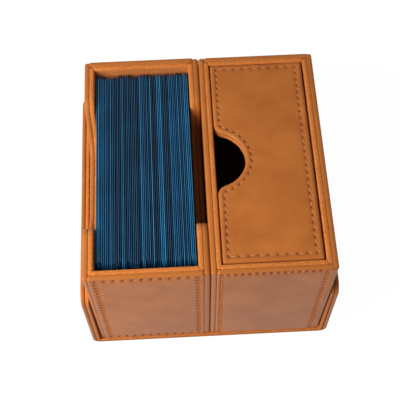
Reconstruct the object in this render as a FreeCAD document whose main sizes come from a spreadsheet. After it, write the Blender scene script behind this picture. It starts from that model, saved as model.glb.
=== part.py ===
"""Two leather-covered card boxes that stand side by side in an open-ended cradle.

The left box is an open card box: its long side walls have a wide finger scoop, and it holds a
stack of sleeved cards that stand on their long edges. The right box is a case with a drawer that
is pulled up and out: the drawer's face lies flush with the rim and has a thumb notch in its edge.
Every wall is two boards thick, a leather-covered board outside and a suede-covered lining inside.

Frame: +Z up, front towards -Y, origin at the centre of the cradle's underside. Millimetres.
"""
import FreeCAD, Part

import math
import os

import Sketcher

# Driving dimensions in millimetres: alias, value, what it is.
DIMENSIONS = [
    # The cards and their plastic sleeves.
    ("card_length", 88.0, "long edge of a card"),
    ("card_height", 63.0, "short edge of a card"),
    ("card_thickness", 0.30, "thickness of a card"),
    ("card_corner", 3.2, "corner radius of a card"),
    ("card_count", 54.0, "sleeved cards in the stack"),
    ("card_play", 0.04, "play on each face of a card inside its sleeve"),
    ("sleeve_film", 0.12, "thickness of a sleeve's plastic film"),
    ("sleeve_side_margin", 1.5, "sleeve beyond the card along each long edge"),
    ("sleeve_end_margin", 2.0, "sleeve beyond the card at each short edge"),
    ("sleeve_weld", 1.0, "welded border of a sleeve"),
    ("sleeve_corner", 2.4, "corner radius of a sleeve"),
    ("sleeve_air", 0.13, "air between two neighbouring sleeves"),
    # Room around the stack in its box.
    ("stack_side_gap", 0.56, "gap between the stack and each side lining"),
    ("stack_end_gap", 1.7, "mean gap between the stack and the end linings"),
    ("stack_push", 0.7, "how far the stack has slid towards the back"),
    ("rim_above_cards", 2.7, "rim of the box above the top of the sleeves"),
    # The two boxes.
    ("cover_board", 2.2, "thickness of a leather-covered board"),
    ("lining_board", 2.1, "thickness of a suede-covered lining board"),
    ("edge_round", 0.85, "rounding of the covered edges"),
    ("seat_gap", 0.2, "clearance under each piece that lifts out"),
    ("box_gap", 0.6, "gap between the two boxes"),
    # The finger scoop in the card box's side walls.
    ("scoop_depth", 22.2, "depth of the scoop below the rim"),
    ("scoop_floor_width", 42.0, "width of the scoop at its floor"),
    ("scoop_mouth_width", 58.2, "width of the scoop at the rim, before rounding"),
    ("scoop_floor_round", 12.0, "radius at the scoop's floor"),
    ("scoop_shoulder_round", 6.0, "radius at the scoop's shoulders"),
    # The drawer.
    ("drawer_gap", 0.6, "gap between the drawer and the case's linings"),
    ("drawer_wall", 1.5, "thickness of the drawer's walls"),
    ("notch_radius", 13.05, "radius of the thumb notch"),
    ("notch_depth", 12.3, "depth of the thumb notch from the face's edge"),
    ("notch_shoulder", 4.8, "radius where the thumb notch meets the edge"),
    # The cradle.
    ("cradle_board", 1.45, "thickness of the cradle's leather-covered boards"),
    ("cradle_lining", 1.35, "thickness of the cradle's suede lining"),
    ("cradle_side_gap", 1.3, "gap between a box and the cradle's side"),
    ("cradle_overhang", 0.4, "how far the cradle reaches beyond the boxes' fronts and backs"),
    ("cradle_wall_height", 47.5, "height of the cradle's sides above its floor"),
    ("cradle_bend", 3.6, "outside radius where the cradle's sides meet its floor"),
    ("cradle_land", 1.0, "flat part of a side board beyond its bend"),
    ("cradle_corner", 6.0, "radius of the sides' top corners"),
    ("cradle_edge_round", 0.5, "rounding of the cradle's covered edges"),
]

# An edge is rounded by at most this share of its board, so that some flat edge is left.
ROUND_LIMIT = 0.42

# Two faces that meet at a smaller angle than this, in radians, run smoothly into each other.
SMOOTH_ANGLE = 0.05

# Two places or lengths in millimetres that differ by less than this are the same.
SAME_PLACE = 1e-3

# Two directions whose unit vectors' product is this close to one are parallel.
SAME_DIRECTION = 1e-6

# Sizes that follow from the driving dimensions, as expressions.
WALL = "(Sizes.cover_board + Sizes.lining_board)"
SLEEVE_THICKNESS = "(Sizes.card_thickness + 2 * (Sizes.card_play + Sizes.sleeve_film))"
SLEEVE_LENGTH = "(Sizes.card_length + 2 * Sizes.sleeve_end_margin)"
SLEEVE_HEIGHT = "(Sizes.card_height + 2 * Sizes.sleeve_side_margin)"
CARD_PITCH = f"({SLEEVE_THICKNESS} + Sizes.sleeve_air)"
CARD_COUNT = "round(Sizes.card_count)"
STACK_WIDTH = f"({CARD_COUNT} * {CARD_PITCH} - Sizes.sleeve_air)"
BOX_INSIDE_WIDTH = f"({STACK_WIDTH} + 2 * Sizes.stack_side_gap)"
BOX_INSIDE_DEPTH = f"({SLEEVE_LENGTH} + 2 * Sizes.stack_end_gap)"
BOX_WIDTH = f"({BOX_INSIDE_WIDTH} + 2 * {WALL})"
BOX_DEPTH = f"({BOX_INSIDE_DEPTH} + 2 * {WALL})"
BOX_HEIGHT = f"({WALL} + Sizes.seat_gap + {SLEEVE_HEIGHT} + Sizes.rim_above_cards)"
CRADLE_WALL = "(Sizes.cradle_board + Sizes.cradle_lining)"
CRADLE_DEPTH = f"({BOX_DEPTH} + 2 * Sizes.cradle_overhang)"
CRADLE_HALF_WIDTH = f"(Sizes.box_gap / 2 + {BOX_WIDTH} + Sizes.cradle_side_gap + {CRADLE_WALL})"

# Where the boxes stand: left edge of each, their front, and their underside.
CARD_BOX_LEFT = f"(-Sizes.box_gap / 2 - {BOX_WIDTH})"
DRAWER_CASE_LEFT = "(Sizes.box_gap / 2)"
BOX_FRONT = f"(-{BOX_DEPTH} / 2)"
BOX_UNDERSIDE = f"({CRADLE_WALL} + Sizes.seat_gap)"

doc = FreeCAD.newDocument("CardBoxWithDrawer")
subparts = []


def make_sizes():
    """Writes the driving dimensions into the document's spreadsheet."""
    sheet = doc.addObject("Spreadsheet::Sheet", "Sizes")
    for row, (alias, value, meaning) in enumerate(DIMENSIONS, start=1):
        sheet.set(f"A{row}", alias)
        sheet.set(f"B{row}", str(value))
        sheet.setAlias(f"B{row}", alias)
        sheet.set(f"C{row}", meaning)
    doc.recompute()


def new_body(label, corner):
    """Adds a sub-part's body, with its own origin placed at the corner's three expressions."""
    body = doc.addObject("PartDesign::Body", label)
    body.Label = label
    body.AllowCompound = True
    for axis, expression in zip("xyz", corner):
        body.setExpression(f"Placement.Base.{axis}", expression)
    subparts.append(body)
    return body


def new_sketch(body, name, plane):
    """Adds a sketch on one of the body's own origin planes, such as XY_Plane."""
    sketch = body.newObject("Sketcher::SketchObject", f"{body.Name}_{name}")
    support = next(item for item in body.Origin.OriginFeatures if item.Role == plane)
    sketch.AttachmentSupport = [(support, "")]
    sketch.MapMode = "FlatFace"
    return sketch


def size_of(expression):
    """Works out an expression of the spreadsheet's sizes."""
    return float(doc.Sizes.evalExpression(expression.replace("Sizes.", "")))


def place_of(pair):
    """Turns a pair of expressions into a point of a sketch."""
    return FreeCAD.Vector(size_of(pair[0]), size_of(pair[1]), 0)


def constrain(sketch, name, expression, kind, *places):
    """Adds a dimension to the sketch that follows an expression."""
    index = sketch.addConstraint(Sketcher.Constraint(kind, *places, size_of(expression)))
    sketch.renameConstraint(index, name)
    sketch.setExpression(f"Constraints.{name}", expression)


def constrain_point(sketch, geometry, point, name, place):
    """Ties a point of the sketch to a place, given as two expressions from the origin."""
    constrain(sketch, f"{name}_across", place[0], "DistanceX", -1, 1, geometry, point)
    constrain(sketch, f"{name}_up", place[1], "DistanceY", -1, 1, geometry, point)


def draw_outline(sketch, corners):
    """Draws a closed outline of straight lines whose corners are pairs of expressions."""
    points = [place_of(corner) for corner in corners]
    count = len(points)
    for index in range(count):
        sketch.addGeometry(Part.LineSegment(points[index], points[(index + 1) % count]), False)
    for index in range(count):
        following = (index + 1) % count
        sketch.addConstraint(Sketcher.Constraint("Coincident", index, 2, following, 1))
    for index, corner in enumerate(corners):
        constrain_point(sketch, index, 1, f"corner_{index}", corner)


def draw_rectangle(sketch, low, high):
    """Draws a rectangle between two corners, each a pair of expressions."""
    draw_outline(sketch, [low, (high[0], low[1]), high, (low[0], high[1])])


def draw_circle(sketch, middle, radius):
    """Draws a circle from the expressions of its middle and its radius."""
    circle = Part.Circle(place_of(middle), FreeCAD.Vector(0, 0, 1), size_of(radius))
    sketch.addGeometry(circle, False)
    constrain(sketch, "radius", radius, "Radius", 0)
    constrain_point(sketch, 0, 3, "middle", middle)


def draw_rounded_rectangle(sketch, length, height, radius):
    """Draws a rectangle from the origin whose corners are arcs of one radius."""
    far = (f"({length} - {radius})", f"({height} - {radius})")
    middles = [(radius, radius), (far[0], radius), far, (radius, far[1])]
    for index, middle in enumerate(middles):
        circle = Part.Circle(place_of(middle), FreeCAD.Vector(0, 0, 1), size_of(radius))
        start = math.pi + index * math.pi / 2
        sketch.addGeometry(Part.ArcOfCircle(circle, start, start + math.pi / 2), False)
    for index in range(4):
        following = (index + 1) % 4
        ends = (sketch.Geometry[index].EndPoint, sketch.Geometry[following].StartPoint)
        line = sketch.addGeometry(Part.LineSegment(*ends), False)
        sketch.addConstraint(Sketcher.Constraint("Tangent", index, 2, line, 1))
        sketch.addConstraint(Sketcher.Constraint("Tangent", line, 2, following, 1))
        sketch.addConstraint(Sketcher.Constraint(("Horizontal", "Vertical")[index % 2], line))
    for index in range(4):
        constrain(sketch, f"radius_{index}", radius, "Radius", index)
    constrain_point(sketch, 0, 3, "near", middles[0])
    constrain_point(sketch, 2, 3, "far", far)


def pad(body, sketch, length, symmetric=False):
    """Extrudes a sketch by a length, one way or half each way, and returns the feature."""
    feature = body.newObject("PartDesign::Pad", f"{sketch.Name}_pad")
    feature.Profile = sketch
    feature.setExpression("Length", length)
    feature.Midplane = symmetric
    body.Tip = feature
    doc.recompute()
    return feature


def pocket(body, sketch, depth, reverse=False):
    """Cuts a sketch into the body by a depth, and makes sure that it took material away."""
    before = body.Shape.Volume
    feature = body.newObject("PartDesign::Pocket", f"{sketch.Name}_pocket")
    feature.Profile = sketch
    feature.setExpression("Length", depth)
    feature.Reversed = reverse
    body.Tip = feature
    doc.recompute()
    if body.Shape.Volume >= before:
        raise RuntimeError(f"{feature.Name} cuts nothing")
    return feature


def fillet(body, name, edges, radius):
    """Rounds the named edges of the body's tip."""
    if not edges:
        raise RuntimeError(f"{body.Label} has no edges for {name}")
    rounded = body.Tip
    feature = body.newObject("PartDesign::Fillet", f"{body.Name}_{name}")
    feature.Base = (rounded, edges)
    feature.setExpression("Radius", radius)
    body.Tip = feature
    doc.recompute()
    return feature


def pattern_along_x(body, originals, count, pitch):
    """Repeats features along the body's X axis, each copy a separate solid."""
    feature = body.newObject("PartDesign::LinearPattern", f"{body.Name}_row")
    feature.Originals = originals
    axis = next(item for item in body.Origin.OriginFeatures if item.Role == "X_Axis")
    feature.Direction = (axis, [""])
    feature.setExpression("Occurrences", count)
    feature.setExpression("Length", f"({count} - 1) * {pitch}")
    body.Tip = feature
    doc.recompute()
    return feature


def straight_edges(shape, direction, chosen):
    """Names the straight edges along a direction whose middle point is chosen."""
    names = []
    for index, edge in enumerate(shape.Edges, start=1):
        if edge.Curve.TypeId != "Part::GeomLine":
            continue
        along = abs(edge.Curve.Direction.dot(direction)) > 1 - SAME_DIRECTION
        if along and chosen(edge.CenterOfMass):
            names.append(f"Edge{index}")
    return names


def inside(value, low, high):
    """Tells whether a coordinate lies clear of both ends of its range."""
    return low + SAME_PLACE < value < high - SAME_PLACE


def sharp_edges(shape):
    """Names the edges at which two faces meet at an angle."""
    names = []
    for index, edge in enumerate(shape.Edges, start=1):
        faces = shape.ancestorsOfType(edge, Part.Face)
        if len(faces) != 2:
            continue
        middle = edge.valueAt((edge.FirstParameter + edge.LastParameter) / 2)
        normals = [face.normalAt(*face.Surface.parameter(middle)) for face in faces]
        if normals[0].getAngle(normals[1]) > SMOOTH_ANGLE:
            names.append(f"Edge{index}")
    return names


def round_edges(body, radius, thickness):
    """Rounds every sharp edge of a covered board, no more than the board allows."""
    limited = f"min({radius}; {ROUND_LIMIT} * {thickness})"
    return fillet(body, "covered_edges", sharp_edges(body.Tip.Shape), limited)


def slab(label, corner, size, radius, thickness):
    """Makes a plain covered board from its low corner and its size."""
    body = new_body(label, corner)
    sketch = new_sketch(body, "outline", "XY_Plane")
    draw_rectangle(sketch, ("0", "0"), size[:2])
    pad(body, sketch, size[2])
    round_edges(body, radius, thickness)
    return body


def scooped_slab(label, corner, depth, height, thickness):
    """Makes a side board with a finger scoop in the middle of its top edge."""
    body = new_body(label, corner)
    sketch = new_sketch(body, "outline", "YZ_Plane")
    floor = f"{height} - Sizes.scoop_depth"
    draw_outline(sketch, [
        ("0", "0"),
        (depth, "0"),
        (depth, height),
        (f"({depth} + Sizes.scoop_mouth_width) / 2", height),
        (f"({depth} + Sizes.scoop_floor_width) / 2", floor),
        (f"({depth} - Sizes.scoop_floor_width) / 2", floor),
        (f"({depth} - Sizes.scoop_mouth_width) / 2", height),
        ("0", height),
    ])
    pad(body, sketch, thickness)
    across = FreeCAD.Vector(1, 0, 0)
    box = body.Tip.Shape.BoundBox
    floor_edges = straight_edges(body.Tip.Shape, across, lambda at: inside(at.z, box.ZMin, box.ZMax))
    fillet(body, "scoop_floor", floor_edges, "Sizes.scoop_floor_round")
    shoulder_edges = straight_edges(
        body.Tip.Shape, across,
        lambda at: at.z > box.ZMax - SAME_PLACE and inside(at.y, box.YMin, box.YMax),
    )
    fillet(body, "scoop_shoulders", shoulder_edges, "Sizes.scoop_shoulder_round")
    round_edges(body, "Sizes.edge_round", thickness)
    return body


def notched_slab(label, corner, size):
    """Makes a board of the drawer's face, with the thumb notch in its left edge."""
    body = new_body(label, corner)
    sketch = new_sketch(body, "outline", "XY_Plane")
    draw_rectangle(sketch, ("0", "0"), size[:2])
    pad(body, sketch, size[2])
    notch = new_sketch(body, "notch", "XY_Plane")
    middle = ("Sizes.notch_depth - Sizes.notch_radius", f"{size[1]} / 2")
    draw_circle(notch, middle, "Sizes.notch_radius")
    pocket(body, notch, size[2], reverse=True)
    box = body.Tip.Shape.BoundBox
    shoulders = straight_edges(
        body.Tip.Shape, FreeCAD.Vector(0, 0, 1),
        lambda at: at.x < box.XMin + SAME_PLACE and inside(at.y, box.YMin, box.YMax),
    )
    fillet(body, "notch_shoulders", shoulders, "Sizes.notch_shoulder")
    round_edges(body, "Sizes.edge_round", size[2])
    return body


def bent_side(label, inset, thickness, on_right):
    """Makes a side of the cradle that bends under the boxes, inset from the cradle's outside."""
    foot = f"(Sizes.cradle_bend + Sizes.cradle_land - {inset})"
    height = f"({CRADLE_WALL} + Sizes.cradle_wall_height - {inset})"
    side = f"({CRADLE_HALF_WIDTH} - {inset})"
    body = new_body(label, (side if on_right else f"-{side}", "0", inset))
    if on_right:
        body.Placement.Rotation = FreeCAD.Rotation(FreeCAD.Vector(0, 0, 1), 180)
    sketch = new_sketch(body, "section", "XZ_Plane")
    draw_outline(sketch, [
        ("0", "0"),
        (foot, "0"),
        (foot, thickness),
        (thickness, thickness),
        (thickness, height),
        ("0", height),
    ])
    pad(body, sketch, CRADLE_DEPTH, symmetric=True)
    along = FreeCAD.Vector(0, 1, 0)
    outer_bend = straight_edges(body.Tip.Shape, along, lambda at: at.x < SAME_PLACE and at.z < SAME_PLACE)
    fillet(body, "outer_bend", outer_bend, f"Sizes.cradle_bend - {inset}")
    box = body.Tip.Shape.BoundBox
    inner_bend = straight_edges(
        body.Tip.Shape, along,
        lambda at: is_inner_corner(at, box, body.Tip.Shape),
    )
    fillet(body, "inner_bend", inner_bend, f"Sizes.cradle_bend - {inset} - {thickness}")
    across = FreeCAD.Vector(1, 0, 0)
    top_corners = straight_edges(body.Tip.Shape, across, lambda at: at.z > box.ZMax - SAME_PLACE)
    fillet(body, "top_corners", top_corners, "Sizes.cradle_corner")
    round_edges(body, "Sizes.cradle_edge_round", thickness)
    return body


def is_inner_corner(at, box, shape):
    """Tells whether a point lies on the inner corner of an L-shaped section."""
    diagonal = FreeCAD.Vector(0.05, 0, 0.05)
    clear_of_ends = inside(at.x, box.XMin, box.XMax) and inside(at.z, box.ZMin, box.ZMax)
    return clear_of_ends and not shape.isInside(at + diagonal, SAME_PLACE, True)


def make_cradle():
    """Makes the cradle's floor and two sides, each a covered board with its lining."""
    layers = [
        ("board", "0", "Sizes.cradle_board"),
        ("lining", "Sizes.cradle_board", "Sizes.cradle_lining"),
    ]
    for layer, inset, thickness in layers:
        half_floor = f"({CRADLE_HALF_WIDTH} - Sizes.cradle_bend - Sizes.cradle_land)"
        slab(
            f"cradle_base_{layer}",
            (f"-{half_floor}", f"-{CRADLE_DEPTH} / 2", inset),
            (f"2 * {half_floor}", CRADLE_DEPTH, thickness),
            "Sizes.cradle_edge_round", thickness,
        )
        bent_side(f"cradle_left_{layer}", inset, thickness, on_right=False)
        bent_side(f"cradle_right_{layer}", inset, thickness, on_right=True)


def make_box(name, left, scooped):
    """Makes one box: four walls and a base of covered boards, and the same again as linings."""
    cover = "Sizes.cover_board"
    lining = "Sizes.lining_board"
    covered_width = f"({BOX_WIDTH} - 2 * {cover})"
    covered_depth = f"({BOX_DEPTH} - 2 * {cover})"
    lining_height = f"({BOX_HEIGHT} - {WALL})"
    lining_front = f"{BOX_FRONT} + {cover}"
    lining_base = f"{BOX_UNDERSIDE} + {WALL}"

    def wall(label, corner, size, thickness):
        """Makes a wall of the box that rises to the rim with a plain top edge."""
        slab(f"{name}_{label}", corner, size, "Sizes.edge_round", thickness)

    for side, cover_left, lining_left in (
        ("left", left, f"{left} + {cover}"),
        ("right", f"{left} + {BOX_WIDTH} - {cover}", f"{left} + {BOX_WIDTH} - {WALL}"),
    ):
        cover_corner = (cover_left, BOX_FRONT, BOX_UNDERSIDE)
        lining_corner = (lining_left, lining_front, lining_base)
        if scooped:
            scooped_slab(f"{name}_{side}_board", cover_corner, BOX_DEPTH, BOX_HEIGHT, cover)
            scooped_slab(f"{name}_{side}_lining", lining_corner, covered_depth, lining_height, lining)
        else:
            wall(f"{side}_board", cover_corner, (cover, BOX_DEPTH, BOX_HEIGHT), cover)
            wall(f"{side}_lining", lining_corner, (lining, covered_depth, lining_height), lining)

    for end, cover_front, end_lining_front in (
        ("front", BOX_FRONT, lining_front),
        ("back", f"-{BOX_FRONT} - {cover}", f"-{BOX_FRONT} - {WALL}"),
    ):
        wall(
            f"{end}_board", (f"{left} + {cover}", cover_front, BOX_UNDERSIDE),
            (covered_width, cover, BOX_HEIGHT), cover,
        )
        wall(
            f"{end}_lining", (f"{left} + {WALL}", end_lining_front, lining_base),
            (BOX_INSIDE_WIDTH, lining, lining_height), lining,
        )

    inner_corner = (f"{left} + {cover}", lining_front)
    wall(
        "base_board", (*inner_corner, BOX_UNDERSIDE),
        (covered_width, covered_depth, cover), cover,
    )
    wall(
        "base_lining", (*inner_corner, f"{BOX_UNDERSIDE} + {cover}"),
        (covered_width, covered_depth, lining), lining,
    )


def make_drawer():
    """Makes the drawer: a notched face on top, and a tray that is open towards the notch."""
    wall = "Sizes.drawer_wall"
    left = f"({DRAWER_CASE_LEFT} + {WALL} + Sizes.drawer_gap)"
    front = f"({BOX_FRONT} + {WALL} + Sizes.drawer_gap)"
    underside = f"({BOX_UNDERSIDE} + {WALL} + Sizes.seat_gap)"
    rim = f"({BOX_UNDERSIDE} + {BOX_HEIGHT})"
    width = f"({BOX_INSIDE_WIDTH} - 2 * Sizes.drawer_gap)"
    depth = f"({BOX_INSIDE_DEPTH} - 2 * Sizes.drawer_gap)"
    wall_height = f"({rim} - {WALL} - {underside} - {wall})"

    notched_slab(
        "drawer_face_board", (left, front, f"{rim} - Sizes.cover_board"),
        (width, depth, "Sizes.cover_board"),
    )
    notched_slab(
        "drawer_face_lining", (left, front, f"{rim} - {WALL}"),
        (width, depth, "Sizes.lining_board"),
    )
    tray = [
        ("foot", (left, front, underside), (width, depth, wall)),
        ("front_wall", (left, front, f"{underside} + {wall}"), (width, wall, wall_height)),
        (
            "back_wall", (left, f"{front} + {depth} - {wall}", f"{underside} + {wall}"),
            (width, wall, wall_height),
        ),
        (
            "floor", (f"{left} + {width} - {wall}", f"{front} + {wall}", f"{underside} + {wall}"),
            (wall, f"({depth} - 2 * {wall})", wall_height),
        ),
    ]
    for piece, corner, size in tray:
        slab(f"drawer_{piece}", corner, size, "Sizes.edge_round", wall)


def make_cards():
    """Makes the stack: sleeves that are open at the front end, each with a card inside."""
    left = f"({CARD_BOX_LEFT} + {WALL} + Sizes.stack_side_gap)"
    front = f"(-{SLEEVE_LENGTH} / 2 + Sizes.stack_push)"
    underside = f"({BOX_UNDERSIDE} + {WALL} + Sizes.seat_gap)"

    sleeves = new_body("card_sleeves", (left, front, underside))
    outline = new_sketch(sleeves, "outline", "YZ_Plane")
    draw_rounded_rectangle(outline, SLEEVE_LENGTH, SLEEVE_HEIGHT, "Sizes.sleeve_corner")
    film = pad(sleeves, outline, SLEEVE_THICKNESS)
    mouth = new_sketch(sleeves, "mouth", "XZ_Plane")
    draw_rectangle(
        mouth,
        ("Sizes.sleeve_film", "Sizes.sleeve_weld"),
        (f"{SLEEVE_THICKNESS} - Sizes.sleeve_film", f"{SLEEVE_HEIGHT} - Sizes.sleeve_weld"),
    )
    inside_sleeve = pocket(sleeves, mouth, f"{SLEEVE_LENGTH} - Sizes.sleeve_weld")
    pattern_along_x(sleeves, [film, inside_sleeve], CARD_COUNT, CARD_PITCH)

    card_corner = (
        f"{left} + Sizes.sleeve_film + Sizes.card_play",
        f"{front} + Sizes.sleeve_end_margin",
        f"{underside} + Sizes.sleeve_side_margin",
    )
    cards = new_body("playing_cards", card_corner)
    outline = new_sketch(cards, "outline", "YZ_Plane")
    draw_rounded_rectangle(outline, "Sizes.card_length", "Sizes.card_height", "Sizes.card_corner")
    card = pad(cards, outline, "Sizes.card_thickness")
    pattern_along_x(cards, [card], CARD_COUNT, CARD_PITCH)


def check_document():
    """Raises an error if any object failed or any sub-part has no valid shape."""
    for item in doc.Objects:
        if "Invalid" in item.State or "Error" in item.State:
            raise RuntimeError(f"{item.Name} is {item.State}")
    for body in subparts:
        if body.Shape.isNull() or not body.Shape.isValid():
            raise RuntimeError(f"{body.Label} has no valid shape")


def export_subparts():
    """Writes each sub-part to its own STEP file."""
    os.makedirs("parts", exist_ok=True)
    for body in subparts:
        body.Shape.exportStep(f"parts/{body.Label}.step")
        box = body.Shape.BoundBox
        print(
            f"{body.Label}: {len(body.Shape.Solids)} solid(s), "
            f"x {box.XMin:.2f} to {box.XMax:.2f}, y {box.YMin:.2f} to {box.YMax:.2f}, "
            f"z {box.ZMin:.2f} to {box.ZMax:.2f}"
        )


make_sizes()
make_cradle()
make_box("card_box", CARD_BOX_LEFT, scooped=True)
make_box("drawer_case", DRAWER_CASE_LEFT, scooped=False)
make_drawer()
make_cards()
doc.recompute()
check_document()
export_subparts()
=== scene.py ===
"""Looks of the playing card box with drawer.

Leather-covered boards, suede linings, saddle stitching, sleeves and cards are made here around the
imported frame. Sizes in the classes are millimetres, and every mesh is in metres. An array of points,
directions or distances has one row for each point.
"""

from __future__ import annotations

import logging
import math
from dataclasses import dataclass, field
from enum import Enum
from functools import partial
from typing import Any, Callable, Sequence

import bpy
import numpy as np
from mathutils import Matrix, Vector
from mathutils.geometry import delaunay_2d_cdt


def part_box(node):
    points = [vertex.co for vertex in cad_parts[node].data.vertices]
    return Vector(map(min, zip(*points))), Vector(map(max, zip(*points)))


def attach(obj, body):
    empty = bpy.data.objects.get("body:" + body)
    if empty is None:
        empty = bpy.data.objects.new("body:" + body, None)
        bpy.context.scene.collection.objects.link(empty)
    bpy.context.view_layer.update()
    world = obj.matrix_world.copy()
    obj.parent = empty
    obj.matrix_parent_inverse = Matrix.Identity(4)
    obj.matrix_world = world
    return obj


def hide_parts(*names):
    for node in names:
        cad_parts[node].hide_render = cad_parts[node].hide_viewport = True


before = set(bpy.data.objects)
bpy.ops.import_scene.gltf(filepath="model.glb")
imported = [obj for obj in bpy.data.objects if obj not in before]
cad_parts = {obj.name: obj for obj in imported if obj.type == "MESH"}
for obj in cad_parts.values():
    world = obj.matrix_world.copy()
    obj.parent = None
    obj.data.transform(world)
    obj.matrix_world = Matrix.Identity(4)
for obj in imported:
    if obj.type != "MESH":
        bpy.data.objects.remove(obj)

LOG = logging.getLogger("card_box")
MM = 0.001

Array = np.ndarray
Node = bpy.types.Node
Tree = bpy.types.NodeTree
Mesh = bpy.types.Mesh
Material = bpy.types.Material
Piece = bpy.types.Object
Pair = tuple[float, float]
Sides = tuple[float, float, float, float]
Corner = tuple[float, float, float]
Mapping = Callable[[Array], Array]


# --- Materials -----------------------------------------------------------------------------------


def linear(hex_colour: str) -> tuple[float, ...]:
    """Turns an sRGB hex colour into linear light.

    Args:
        hex_colour: Six hex digits with a leading number sign.

    Returns:
        Red, green, blue and an alpha of one.
    """
    channels = [int(hex_colour[i : i + 2], 16) / 255 for i in (1, 3, 5)]
    light = [c / 12.92 if c <= 0.04045 else ((c + 0.055) / 1.055) ** 2.4 for c in channels]
    return (*light, 1.0)


def add_node(
    tree: Tree, kind: str, inputs: dict[str | int, Any] | None = None, **settings: Any
) -> Node:
    """Adds a node with its settings, values and links.

    Args:
        tree: The node tree that gets the node.
        kind: The node's type name.
        inputs: Value, socket, or node whose first output is meant, by the input's name or number.
        **settings: Properties of the node itself.

    Returns:
        The new node.
    """
    node = tree.nodes.new(kind)
    for name, value in settings.items():
        setattr(node, name, value)
    for key, value in (inputs or {}).items():
        if isinstance(key, int):
            socket = node.inputs[key]
        else:
            socket = next(s for s in node.inputs if s.name == key and s.enabled)
        if isinstance(value, Node):
            value = next(s for s in value.outputs if s.enabled)
        if isinstance(value, bpy.types.NodeSocket):
            tree.links.new(value, socket)
        else:
            socket.default_value = value
    return node


def new_material(name: str) -> tuple[Material, Tree]:
    """Makes an empty node material.

    Args:
        name: The material's name.

    Returns:
        The material and its cleared node tree.
    """
    material = bpy.data.materials.new(name)
    material.use_nodes = True
    material.node_tree.nodes.clear()
    return material, material.node_tree


def ramp(node: Node, places: Sequence[float], colours: Sequence[str]) -> None:
    """Sets a colour ramp's stops.

    Args:
        node: The colour ramp node.
        places: Where each stop lies, from left to right.
        colours: The hex colour of each stop.
    """
    elements = node.color_ramp.elements
    while len(elements) < len(places):
        elements.new(0.5)
    for element, place, colour in zip(elements, places, colours):
        element.position = place
        element.color = linear(colour)


def shaded(tree: Tree, colour: Node, attribute: str, shade: str) -> Node:
    """Blends a colour into a shade as far as the mesh's own attribute says.

    Args:
        tree: The material's node tree.
        colour: The node that gives the colour.
        attribute: The attribute's name; it goes from nought to one.
        shade: The hex colour at one.

    Returns:
        The node that gives the blend.
    """
    share = add_node(tree, "ShaderNodeAttribute", attribute_name=attribute).outputs["Fac"]
    mixed = {"Factor": share, "A": colour, "B": linear(shade)}
    return add_node(tree, "ShaderNodeMix", mixed, data_type="RGBA")


def coat(
    tree: Tree, surface: dict[str, Any], height: Node, strength: float,
    depth_mm: float = 0.05,
) -> None:
    """Ends a material with its shader and, where it has a strength, a bump.

    Args:
        tree: The material's node tree.
        surface: The shader's inputs.
        height: The node that gives the pattern's height.
        strength: The bump's strength.
        depth_mm: The bump's depth in millimetres.
    """
    if strength:
        bump = {"Strength": strength, "Distance": depth_mm * MM, "Height": height}
        surface = {**surface, "Normal": add_node(tree, "ShaderNodeBump", bump)}
    shader = add_node(tree, "ShaderNodeBsdfPrincipled", surface)
    add_node(tree, "ShaderNodeOutputMaterial", {"Surface": shader})


@dataclass(frozen=True)
class CoatedLeather:
    """Polyurethane-coated leather, pressed with a fine calf grain and drummed until it mottles.

    The coat gives a satin gloss that whitens at a low angle, so upright faces look rosier than the
    tops. The mottling gives slow cloudy patches. Folded edges are blended a little lighter, partly as
    burnishing and partly as a painted highlight, and seam pits, valleys and creases are darkened with
    painted shade.
    """

    name: str = "coated_leather_tan"
    patches: tuple[str, str, str] = ("#B1632A", "#BB6C30", "#C57434")
    stops: tuple[float, float, float] = (0.3, 0.5, 0.7)
    # The dark colour that paints shade into the seam's pits, valleys and puckers and into the
    # creases.
    hollow_shade: str = "#4C2614"
    # The lighter tone of rolled edges: partly burnishing, partly painted highlight.
    burnished_highlight: str = "#B66C2F"
    patch_mm: float = 15.0
    grain_mm: float = 0.75
    pore_mm: float = 0.3125
    grain_depth: float = 0.55
    roughness: Pair = (0.27, 0.43)
    specular: float = 0.13
    bump: float = 0.35

    def make(self) -> Material:
        """Builds the node material.

        Returns:
            The material.
        """
        material, tree = new_material(self.name)
        add = partial(add_node, tree)
        place = add("ShaderNodeTexCoord").outputs["Object"]
        cloud = {"Scale": 1 / (self.patch_mm * MM), "Detail": 3.0, "Roughness": 0.55}
        patch = add("ShaderNodeTexNoise", {"Vector": place, "Distortion": 0.4, **cloud})
        colours = add("ShaderNodeValToRGB", {"Fac": patch})
        ramp(colours, self.stops, self.patches)
        # Rolled edges, as the rim attribute marks them, blend toward a lighter tone: partly
        # burnishing, partly painted highlight.
        wear_and_highlight = shaded(tree, colours, "rim", self.burnished_highlight)
        # Pits, valleys, puckers and creases, as the mesh's attribute marks them, blend toward this
        # painted shade.
        base = shaded(tree, wear_and_highlight, "hollow_shade", self.hollow_shade)
        cells = {"Vector": place, "Scale": 1 / (self.grain_mm * MM), "Randomness": 1.0}
        grain = add("ShaderNodeTexVoronoi", cells, feature="SMOOTH_F1")
        dots = {"Vector": place, "Scale": 1 / (self.pore_mm * MM), "Detail": 2.0}
        pores = add("ShaderNodeTexNoise", dots)
        heights = {0: grain, 1: self.grain_depth, 2: pores}
        height = add("ShaderNodeMath", heights, operation="MULTIPLY_ADD")
        low, high = self.roughness
        gloss = add("ShaderNodeMapRange", {"Value": pores, "To Min": low, "To Max": high})
        surface = {"Base Color": base, "Roughness": gloss, "IOR": 1.5}
        coat(tree, {**surface, "Specular IOR Level": self.specular}, height, self.bump)
        return material


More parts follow.
